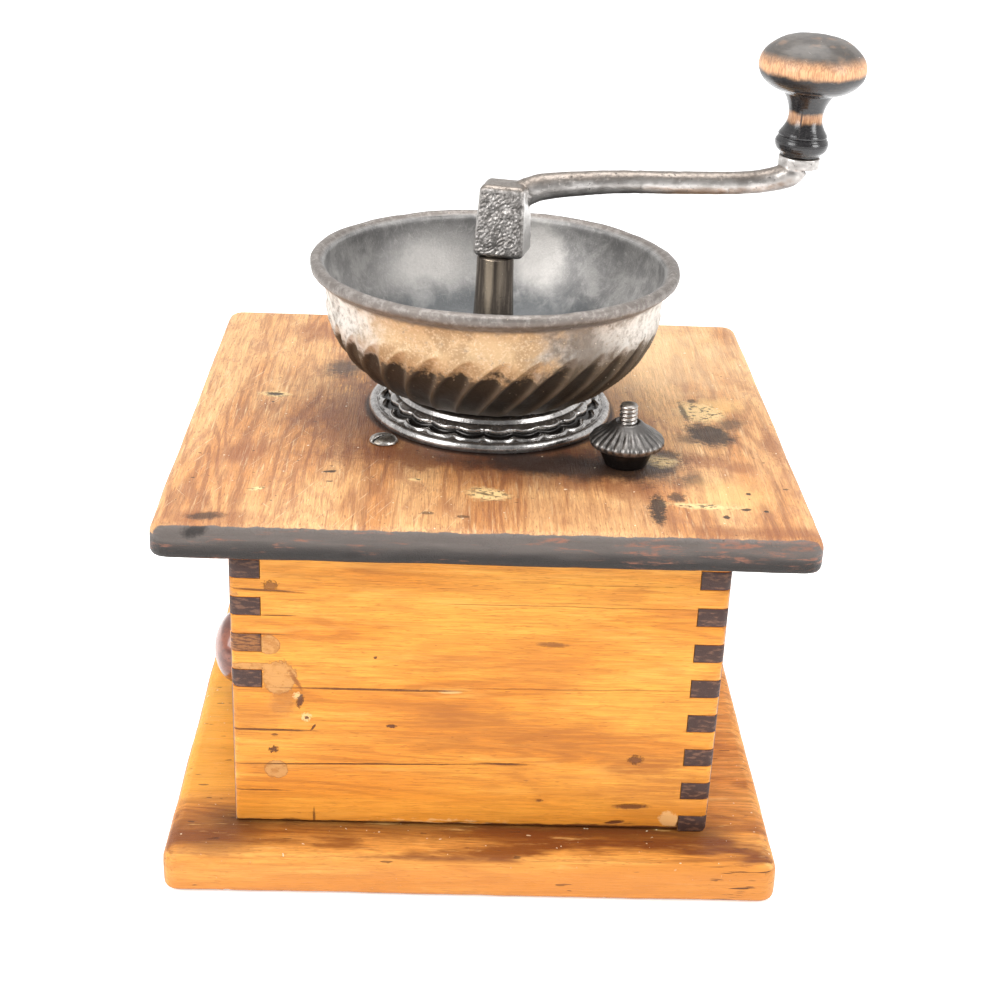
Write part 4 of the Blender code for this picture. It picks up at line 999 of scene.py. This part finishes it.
def make_hopper(finish):
    rim = through([
        (57.4, 179.2), (58.3, 179.9), (59.4, RIM_TOP), (60.7, 179.3), (61.0, 178.0),
        (60.5, 176.5), (58.7, 175.2), (57.2, 174.0), (56.2, 171.0), (55.8, 168.5),
    ], 5)
    body = bowl_line(55.6, 28.1, 135.6, count=110)
    floor = through([(28.1, 134.0), (28.1, 127.3)], 4)
    throat = [(17.6, 127.3), (17.0, 127.9), (17.0, 129.8), (17.5, 130.3), (24.6, 130.3), (25.1, 130.9)]
    inside = bowl_line(56.0, 25.1, 137.8, top=177.5, count=80)[::-1]
    lip = through([(56.1, 178.0), (56.5, 178.6), (57.0, 179.05)], 4)
    outline = np.vstack([rim, body, floor, throat, inside, lip])

    def relief(angle, radius, height, place):
        """The flutes on the outside and an uneven rim."""
        fluted = np.where((place >= len(rim)) & (place < len(rim) + len(body)), flutes(angle, height), 0)
        uneven = 0.10 * np.sin(angle * 7 + 1) + 0.05 * np.sin(angle * 17)
        return fluted + np.where((height > 174.5) & (radius > 56.5), uneven, 0)

    mesh = revolved("hopper", AXIS, outline, BOWL_FLUTES * 20, relief=relief)
    roughen(mesh, 0.16, 6.0)
    return piece("hopper", mesh, finish, "case", "hopper_iron", "hopper_bowl")


def ring_relief(angle, radius, height, place):
    """Long humps under the collar, a wavy channel, and the scalloped inner edge of the smooth rim."""
    phase = (angle * RING_LOBES / (2 * math.pi)) % 1.0
    wave = np.abs(np.sin(math.pi * phase))
    on_slope = smooth_step(radius, 31.6, 32.0) * smooth_step(radius, 38.6, 38.0) * (height > 128.5)
    hump_edge = 33.6 + 0.9 * wave
    humps = smooth_step(radius, 31.9, 32.5) * smooth_step(radius, hump_edge + 0.3, hump_edge - 0.3)
    humps = humps * (0.35 + 0.65 * smooth_step(wave, 0.10, 0.45))
    scallop = 36.6 - 1.5 * (1 - wave**0.7)
    channel = smooth_step(radius, hump_edge - 0.1, hump_edge + 0.5)
    channel = channel * smooth_step(radius, scallop + 0.4, scallop - 0.3)
    crescent = np.exp(-(((radius - scallop - 0.75) / 0.55) ** 2)) * (0.35 + 0.65 * wave)
    return on_slope * (0.70 * humps + 0.75 * crescent - 1.05 * channel)


def make_ring(finish):
    slope = [(31.9, 133.5), (33.0, 132.7), (35.2, 131.2), (37.4, 129.85)]
    outer = through([(28.9, 135.3), (30.0, 135.4), (31.1, 135.0), (31.6, 134.1), *slope, (38.0, 129.7),
                     (38.8, 130.25), (39.8, 130.4), (40.8, 129.8), (41.3, 128.6), (41.0, 127.3)], 9)
    outline = np.vstack([outer, [(28.5, 127.3), (28.5, 134.9)]])
    mesh = revolved("mill_ring_casting", AXIS, outline, RING_LOBES * 24, relief=ring_relief)
    roughen(mesh, 0.07, 4.0)
    return piece("mill_ring_casting", mesh, finish, "case", "ring_iron", "mill_ring")


def nut_relief(angle, radius, height, place):
    """Radial grooves on the cap that fade towards its middle."""
    groove = (0.5 - 0.5 * np.cos(angle * NUT_FLUTES)) ** 1.6
    share = smooth_step(radius, 5.6, 9.0) * smooth_step(height, 133.4, 134.4)
    return -0.36 * groove * share


def make_nut(finish):
    cap = through([(3.3, 141.4), (3.9, 141.75), (4.7, 141.5), (5.6, 140.7), (6.8, 139.7), (9.2, 138.2),
                   (11.0, 136.9), (11.9, 135.8), (11.9, 134.7), (11.2, 133.8), (9.6, 133.4), (8.8, 133.0),
                   (8.3, 131.4), (7.4, 129.2), (6.7, 127.4)], 7)
    outline = np.vstack([cap, [(3.3, 127.4)]])
    mesh = revolved("fluted_nut", ROD_AT, outline, NUT_FLUTES * 14, relief=nut_relief)
    roughen(mesh, 0.10, 4.0)
    return piece("fluted_nut", mesh, finish, "nut", "nut_iron", "adjusting_nut")


def thread_relief(angle, radius, height, place):
    """A coarse thread on the upper end of the rod."""
    pitch = 1.35
    turn = height / pitch - angle / (2 * math.pi)
    share = smooth_step(height, 133.0, 134.0) * smooth_step(height, 147.2, 146.6) * (radius > 2.6)
    return -0.42 * share * (0.5 - 0.5 * np.cos(2 * math.pi * turn)) ** 1.3


def with_block(mesh, size, turn, middle, sharp, bevel=0.0):
    """Adds a block to a turned mesh: its size, its turn about the vertical and the rounding of its edges."""
    bm = bmesh.new()
    bm.from_mesh(mesh)
    made = bmesh.ops.create_cube(bm, size=1)["verts"]
    bmesh.ops.scale(bm, vec=Vector(size) * MM, verts=made)
    bmesh.ops.rotate(bm, matrix=Matrix.Rotation(turn, 3, "Z"), verts=made)
    bmesh.ops.translate(bm, vec=Vector(middle) * MM, verts=made)
    if bevel:
        edges = {edge for vert in made for edge in vert.link_edges}
        bmesh.ops.bevel(bm, geom=list(edges), offset=bevel * MM, segments=2, affect="EDGES")
    bm.to_mesh(mesh)
    bm.free()
    mesh.shade_smooth()
    mesh.set_sharp_from_angle(angle=math.radians(sharp))


def make_rod(finish):
    low, high = millimetres("adjuster_rod")
    head_top = low.z + ROD_HEAD
    shank = through([(2.9, high.z - 0.7), (2.9, head_top - 1.0)], 420)
    outline = np.vstack([[(0, high.z), (1.6, high.z), (2.5, high.z - 0.15)], shank, [(0, head_top - 1.0)]])
    mesh = revolved("threaded_rod", ROD_AT, outline, 40, closed=False, relief=thread_relief)
    with_block(mesh, (10, 10, ROD_HEAD), math.radians(-46.6), (*ROD_AT, low.z + ROD_HEAD / 2), 50, bevel=0.5)
    return piece("threaded_rod", mesh, finish, "rod", "steel", "adjuster_rod")


def hub_block():
    """The crank's hub: a block that tapers upwards, set a little towards the arm."""
    bm = bmesh.new()
    bmesh.ops.create_cube(bm, size=1)
    for vert in bm.verts:
        upper = vert.co.z > 0
        half = (7.5, 6.3) if upper else (8.6, 7.3)
        middle = (2.1, 2.0) if upper else (1.5, 2.5)
        side = (math.copysign(1, vert.co.x), math.copysign(1, vert.co.y))
        vert.co.x = middle[0] + side[0] * half[0]
        vert.co.y = middle[1] + side[1] * half[1]
        vert.co.z = HUB_HIGH if upper else HUB_LOW
    bmesh.ops.bevel(bm, geom=bm.edges[:], offset=2.1, segments=5, profile=0.5, affect="EDGES")
    bm.transform(Matrix.Translation((*AXIS, 0)) @ Matrix.Rotation(HUB_TURN, 4, "Z"))
    return bm


def tube_into(bm, route, sides=28):
    """A round rod along a smooth route of (x, y, z, radius), with flat ends."""
    line = through(route, 14)
    rings = []
    for i, (x, y, z, radius) in enumerate(line):
        ahead = line[min(i + 1, len(line) - 1)][:3] - line[max(i - 1, 0)][:3]
        tilt = Vector(ahead).to_track_quat("Z", "Y").to_matrix()
        ring = []
        for k in range(sides):
            angle = 2 * math.pi * k / sides
            offset = tilt @ Vector((radius * math.cos(angle), radius * math.sin(angle), 0))
            ring.append(bm.verts.new(Vector((x, y, z)) + offset))
        rings.append(ring)
    for ring, after in zip(rings, rings[1:]):
        for k in range(sides):
            bm.faces.new((ring[k], ring[(k + 1) % sides], after[(k + 1) % sides], after[k]))
    bm.faces.new(rings[0][::-1])
    bm.faces.new(rings[-1])


def knob_point(height):
    """The point on the crank knob's leaning axis at a height above its foot."""
    return KNOB_FOOT + Vector((math.sin(KNOB_LEAN), 0, math.cos(KNOB_LEAN))) * height


def chisel_hub(mesh):
    """Wears the casting all over, and chisels the front of its hub."""
    points, normals = vertex_arrays(mesh)
    forward = np.array([math.sin(HUB_TURN), -math.cos(HUB_TURN), 0])
    right = np.array([math.cos(HUB_TURN), math.sin(HUB_TURN), 0])
    across = (points - np.array([*AXIS, 0])) @ right
    face = smooth_step(normals @ forward, 0.72, 0.95) * (np.abs(across) < 11) * (points[:, 2] < HUB_HIGH + 1)
    face = face * smooth_step(points[:, 2], HUB_LOW + 0.6, HUB_LOW + 2.0)
    face = face * smooth_step(points[:, 2], HUB_HIGH - 1.8, HUB_HIGH - 3.2)
    slope = math.radians(38)
    along = across * math.cos(slope) + points[:, 2] * math.sin(slope)
    aside = points[:, 2] * math.cos(slope) - across * math.sin(slope)
    flat = np.stack([along, aside, np.zeros(len(along))], axis=1)
    chiselled = 0.30 * lumps(flat, (1.8, 0.6, 1)) + 0.30 * lumps(flat, (0.7, 0.5, 1))
    chiselled = chiselled + 0.32 * lumps(flat, (4, 3, 1))
    worn = 0.10 * lumps(points, 2.4)
    set_points(mesh, points + normals * (worn + face * (chiselled - 0.15))[:, None])


def make_crank(finish):
    """Hub, arm and boss as one casting."""
    bm = hub_block()
    tube_into(bm, [
        (7.0, 8.5, 199.0, 4.5), (13.0, 8.3, 202.3, 4.45), (20.0, 8.0, 204.3, 4.25),
        (40.0, 6.2, 206.7, 3.78), (60.0, 6.0, 207.2, 3.70), (78.0, 6.0, 207.7, 3.68),
        (87.0, 5.7, 208.6, 3.72), (93.0, 4.8, 210.1, 3.9), (97.0, 3.8, 212.0, 4.0),
        (99.8, 3.2, 214.6, 3.2),
    ])
    boss = cylinder_into(bm, radius=6.6, depth=3.5, sides=48)
    under_knob = Matrix.Translation(knob_point(-2.1)) @ Matrix.Rotation(KNOB_LEAN, 4, "Y")
    bmesh.ops.transform(bm, matrix=under_knob, verts=boss)
    bmesh.ops.recalc_face_normals(bm, faces=bm.faces)
    bm.transform(Matrix.Scale(MM, 4))
    mesh = remeshed("crank_casting", bm, 0.32, 5)
    chisel_hub(mesh)
    return piece("crank_casting", mesh, finish, "crank", "crank_iron", "crank")


def make_spindle(finish):
    """The round shaft down to the mill, and the square tang that the crank sits on."""
    low, high = millimetres("spindle")
    outline = np.vstack([
        [(0, 181.0), (5.7, 181.0)],
        through([(6.1, 180.7), (6.3, 172.0), (6.7, 162.0), (7.2, 151.0), (7.2, 146.9)], 6),
        [(5.3, 145.5), (5.3, 122.5), (4.5, 121.5), (4.5, 85.0), (3.6, 84.5), (3.6, low.z + 1.5)],
        [(2.2, low.z), (0, low.z)],
    ])
    mesh = revolved("spindle_shaft", AXIS, outline, 72, closed=False)
    foot = 178
    with_block(mesh, (5.2, 5.2, high.z - foot), HUB_TURN, (*AXIS, (high.z + foot) / 2), 40)
    return piece("spindle_shaft", mesh, finish, "crank", "steel", "spindle")


def make_knob(finish):
    """The turned knob, leaning a little outwards, with a bore for its pin."""
    head = through([(0, 38.0), (3.5, 37.85), (7.0, 37.35), (10.2, 36.4), (12.9, 34.8), (15.0, 32.9),
                    (16.4, 30.8), (17.0, 28.6), (16.8, 26.4), (15.9, 24.4), (14.4, 22.7), (12.6, 21.4),
                    (10.4, 20.5), (8.5, 20.0)], 6)
    stem = through([(8.0, 19.6), (6.8, 17.6), (5.9, 15.4), (5.5, 13.1), (5.7, 10.9), (6.5, 8.9),
                    (7.5, 7.3), (7.9, 6.6)], 6)
    bulb = through([(7.5, 6.2), (7.9, 5.7), (8.5, 4.6), (8.5, 3.3), (8.0, 1.9), (6.9, 0.8), (6.5, 0.2)], 6)
    bore = [(2.5, 0.1), (2.5, 32.6), (0, 32.8)]
    outline = np.vstack([head, stem, bulb, bore])

    def dents(angle, radius, height, place):
        """A dent low on the left of the head, and hardly visible turning marks."""
        left = np.exp(-(((angle - 3.55) / 0.13) ** 2) - ((height - 29.0) / 2.0) ** 2)
        return -0.9 * left + 0.04 * np.sin(height * 9) * (radius > 3)

    mesh = revolved("turned_knob", (0, 0), outline, 128, closed=False, relief=dents)
    mesh.transform(Matrix.Translation(KNOB_FOOT * MM) @ Matrix.Rotation(KNOB_LEAN, 4, "Y"))
    roughen(mesh, 0.10, 5.0)
    return piece("turned_knob", mesh, finish, "knob", "knob_wood", "crank_knob")


def make_drawer_knob(finish):
    low, high = millimetres("drawer_knob")
    middle = (low + high) / 2
    reach = high.x - low.x
    dome = through([(0, reach), (3, reach - 0.1), (6.5, reach - 1.0), (10.0, reach - 2.8),
                    (12.2, reach - 5.0), (13.3, 8.2), (12.6, 5.8), (10.5, 3.9), (8.3, 2.4), (7.7, 1.4),
                    (8.0, 0.3)], 6)
    outline = np.vstack([dome, [(1.8, 0.3), (1.8, 9.8), (0, 9.8)]])
    mesh = revolved("drawer_pull", (0, 0), outline, 96, closed=False)
    turn = Matrix.Rotation(-math.pi / 2, 4, "Y")
    mesh.transform(Matrix.Translation(Vector((high.x + 0.3, middle.y, middle.z)) * MM) @ turn)
    return piece("drawer_pull", mesh, finish, "drawer", "knob_wood", "drawer_knob")


def worn_board(name, node, voxel, edge_wear, plugs=()):
    """A board's CAD solid with uneven edges and face; plugs fills holes that don't show."""
    bm = bmesh.new()
    bm.from_mesh(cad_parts[node].data)
    bmesh.ops.remove_doubles(bm, verts=bm.verts, dist=1e-6)
    low, high = millimetres(node)
    for x, y in plugs:
        plug = cylinder_into(bm, radius=3.2 * MM, depth=(high.z - low.z) * MM, sides=24)
        bmesh.ops.translate(bm, vec=Vector((x, y, (low.z + high.z) / 2)) * MM, verts=plug)
    mesh = remeshed(name, bm, voxel, 2)
    points, normals = vertex_arrays(mesh)
    inset = np.minimum(points[:, :2] - np.array(low.xy), np.array(high.xy) - points[:, :2]).min(axis=1)
    near_edge = smooth_step(inset, 7.0, 1.0)
    waves = lumps(points, (30, 30, 12)) * 0.30 + lumps(points, (7, 7, 5)) * 0.10
    nicks = np.clip(lumps(points + 50, (6, 6, 3)) - 0.45, 0, 1) * -1.6
    lift = near_edge * edge_wear * (waves + nicks - 0.15) + 0.05 * lumps(points, 11)
    set_points(mesh, points + normals * lift[:, None])
    return mesh


def screw_head(name, at, low, radius, rise, turn, finish, node):
    """A domed head with a slot, on a plain shank."""
    def slot_relief(angle, reach, height, place):
        aside = np.abs(reach * np.sin(angle - turn))
        return -0.9 * smooth_step(aside, 0.75, 0.45) * (height > low + 0.5)

    dome = []
    for i in range(25):
        angle = math.pi / 2 * i / 24
        dome.append((radius * math.sin(angle) ** 0.9, low + rise * math.cos(angle)))
    tip = millimetres(node)[0].z
    outline = np.vstack([dome, [(radius * 0.93, low), (1.8, low), (1.8, tip), (0, tip)]])
    mesh = revolved(name, at, outline, 120, closed=False, relief=slot_relief)
    roughen(mesh, 0.12, 1.6)
    return piece(name, mesh, finish, "case", "steel", node)


def make_housing_screws(finish):
    for side in ("front", "back"):
        node = f"housing_screw_{side}"
        screw_head(f"screw_{side}", centre_of(node).xy, DECK + 0.3, 4.6, 2.1, math.radians(38), finish, node)


# ---------------------------------------------------------------- the whole object


def dress_case():
    front = wall_finish("front_wall_wood", "x", 7, front_wall_features)
    lengthways = wall_finish("back_wall_wood", "x", 8)
    crossways = wall_finish("side_wall_wood", "y", 9, end_reach=(0.2, 0.4))
    dress("front_wall", front, 0.35)
    dress("back_wall", lengthways, 0.35)
    dress("right_wall", crossways, 0.3)
    dress("left_panel", crossways, 0.3)
    dress("drawer_front", wall_finish("drawer_front_wood", "y", 12), 0.5)
    sides = bare_wood_finish("drawer_side_wood", "x", 13)
    for node in ("drawer_side_front", "drawer_side_back"):
        dress(node, sides, 0.4)
    dress("drawer_back", bare_wood_finish("drawer_back_wood", "y", 14), 0.4)
    dress("drawer_bottom", bare_wood_finish("drawer_bottom_wood", "x", 15, 0.25), 0.3)
    top = worn_board("top_board_worn", "top_board", 0.8, 0.7, [centre_of(nail).xy for nail in NAILS])
    piece("top_board_worn", top, top_board_finish(), "case", "case_wood", "top_board")
    base = worn_board("base_board_worn", "base_board", 0.9, 1.0)
    piece("base_board_worn", base, base_board_finish(), "case", "case_wood", "base_board")


def dress_metal():
    dark_iron = iron_finish("mill_iron", (0.045, 0.042, 0.040), (0.10, 0.095, 0.09), 121, roughness=0.36)
    steel = iron_finish("old_steel", (0.26, 0.235, 0.215), (0.52, 0.49, 0.46), 126,
                        roughness=0.24, grain=0.8, metallic=1.0)
    screw = iron_finish("screw_steel", (0.22, 0.19, 0.155), (0.62, 0.59, 0.55), 136,
                        roughness=0.26, grain=0.7, metallic=0.95, hollow=-0.45)
    ring = iron_finish("ring_iron", (0.34, 0.325, 0.315), (0.60, 0.58, 0.56), 141,
                       roughness=0.16, grain=2.2, metallic=0.95, hollow=-0.45)
    nut = iron_finish("nut_iron", (0.12, 0.112, 0.106), (0.25, 0.234, 0.220), 146,
                      roughness=0.27, grain=2.0, metallic=0.9, hollow=-0.42, black_under=133.4)
    make_hopper(hopper_finish())
    make_ring(ring)
    make_nut(nut)
    make_rod(steel)
    make_crank(crank_finish())
    make_spindle(spindle_finish())
    make_housing_screws(screw)
    for node in (*IRON_NODES, "step_bearing"):
        dress(node, dark_iron, 0)
    small = ["bridge_screw_1", "bridge_screw_2", "bracket_screw_1", "bracket_screw_2", "lever_pivot_pin",
             "burr_pin", "knob_pin", "drawer_knob_screw"]
    small += [f"base_screw_{number}" for number in range(1, 5)]
    for node in small + NAILS:
        dress(node, steel, 0)


def give_slots():
    """Goes through every CAD node, sorting small parts, iron nodes and the rest, and does nothing with any
    of them.
    """
    for node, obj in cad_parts.items():
        if any(word in node for word in ("screw", "pin", "nail", "bearing")):
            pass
        elif node in IRON_NODES:
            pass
        else:
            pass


# ---------------------------------------------------------------- studio


def lay_floor():
    """White backlit paper, wide enough to fill the view."""
    s = Surface("studio_paper")
    s.set(s.shader.inputs["Base Color"], (0.93, 0.93, 0.93))
    s.set(s.shader.inputs["Roughness"], 0.9)
    s.set(s.shader.inputs["Specular IOR Level"], 0.1)
    s.set(s.shader.inputs["Emission Color"], (1.0, 1.0, 1.0))
    s.set(s.shader.inputs["Emission Strength"], 0.45)
    mesh = bpy.data.meshes.new("studio_floor")
    half = 40.0
    corners = [(-half, -half, 0), (half, -half, 0), (half, half, 0), (-half, half, 0)]
    mesh.from_pydata(corners, [], [(0, 1, 2, 3)])
    mesh.materials.append(s.material)
    floor = bpy.data.objects.new("studio_floor", mesh)
    floor.location.z = -0.0004
    bpy.context.scene.collection.objects.link(floor)


def add_softbox(name, place, target, size, power):
    data = bpy.data.lights.new(name, "AREA")
    data.shape = "RECTANGLE"
    data.size, data.size_y = size
    data.energy = power
    lamp = bpy.data.objects.new(name, data)
    lamp.location = place
    lamp.rotation_euler = (Vector(target) - Vector(place)).to_track_quat("-Z", "Y").to_euler()
    bpy.context.scene.collection.objects.link(lamp)


def light_studio():
    """White all round, darker towards the camera, with softboxes at both sides and overhead."""
    world = bpy.data.worlds.new("studio")
    bpy.context.scene.world = world
    world.use_nodes = True
    tree = world.node_tree
    spots = tree.nodes.new("ShaderNodeTexCoord")
    parts = tree.nodes.new("ShaderNodeSeparateXYZ")
    ramp = tree.nodes.new("ShaderNodeMapRange")
    ramp.interpolation_type = "SMOOTHSTEP"
    ramp.inputs["From Min"].default_value = -0.9
    ramp.inputs["From Max"].default_value = 0.1
    ramp.inputs["To Min"].default_value = 0.30
    ramp.inputs["To Max"].default_value = 1.05
    tree.links.new(spots.outputs["Generated"], parts.inputs[0])
    tree.links.new(parts.outputs["Y"], ramp.inputs["Value"])
    tree.links.new(ramp.outputs["Result"], tree.nodes["Background"].inputs["Strength"])
    tree.nodes["Background"].inputs["Color"].default_value = (1, 1, 1, 1)
    target = (0, 0, 0.12)
    add_softbox("softbox_left", (-0.62, -0.50, 0.52), target, (0.45, 0.55), 5.5)
    add_softbox("softbox_right", (0.70, -0.42, 0.50), target, (0.35, 0.5), 4.2)
    add_softbox("softbox_over", (0.0, 0.10, 1.0), target, (0.8, 0.6), 7.0)


def add_camera():
    """The photograph's view: from the front and a little above, slightly rolled."""
    place = (-0.011379, -0.546871, 0.346161)
    data = bpy.data.cameras.new("camera")
    data.lens = 62.378
    data.sensor_width = 36
    data.clip_start = 0.01
    camera = bpy.data.objects.new("camera", data)
    pitch = math.radians(24.662)
    yaw = math.radians(1.975)
    roll = math.radians(2.415)
    forward = Vector((math.sin(yaw) * math.cos(pitch), math.cos(yaw) * math.cos(pitch), -math.sin(pitch)))
    turn = forward.to_track_quat("-Z", "Y").to_matrix().to_4x4() @ Matrix.Rotation(roll, 4, "Z")
    camera.matrix_world = Matrix.Translation(place) @ turn
    bpy.context.scene.collection.objects.link(camera)
    bpy.context.scene.camera = camera
    bpy.context.scene.view_settings.view_transform = "Standard"


dress_case()
dress_metal()
make_knob(knob_finish())
make_drawer_knob(drawer_knob_finish())
give_slots()
lay_floor()
light_studio()
add_camera()
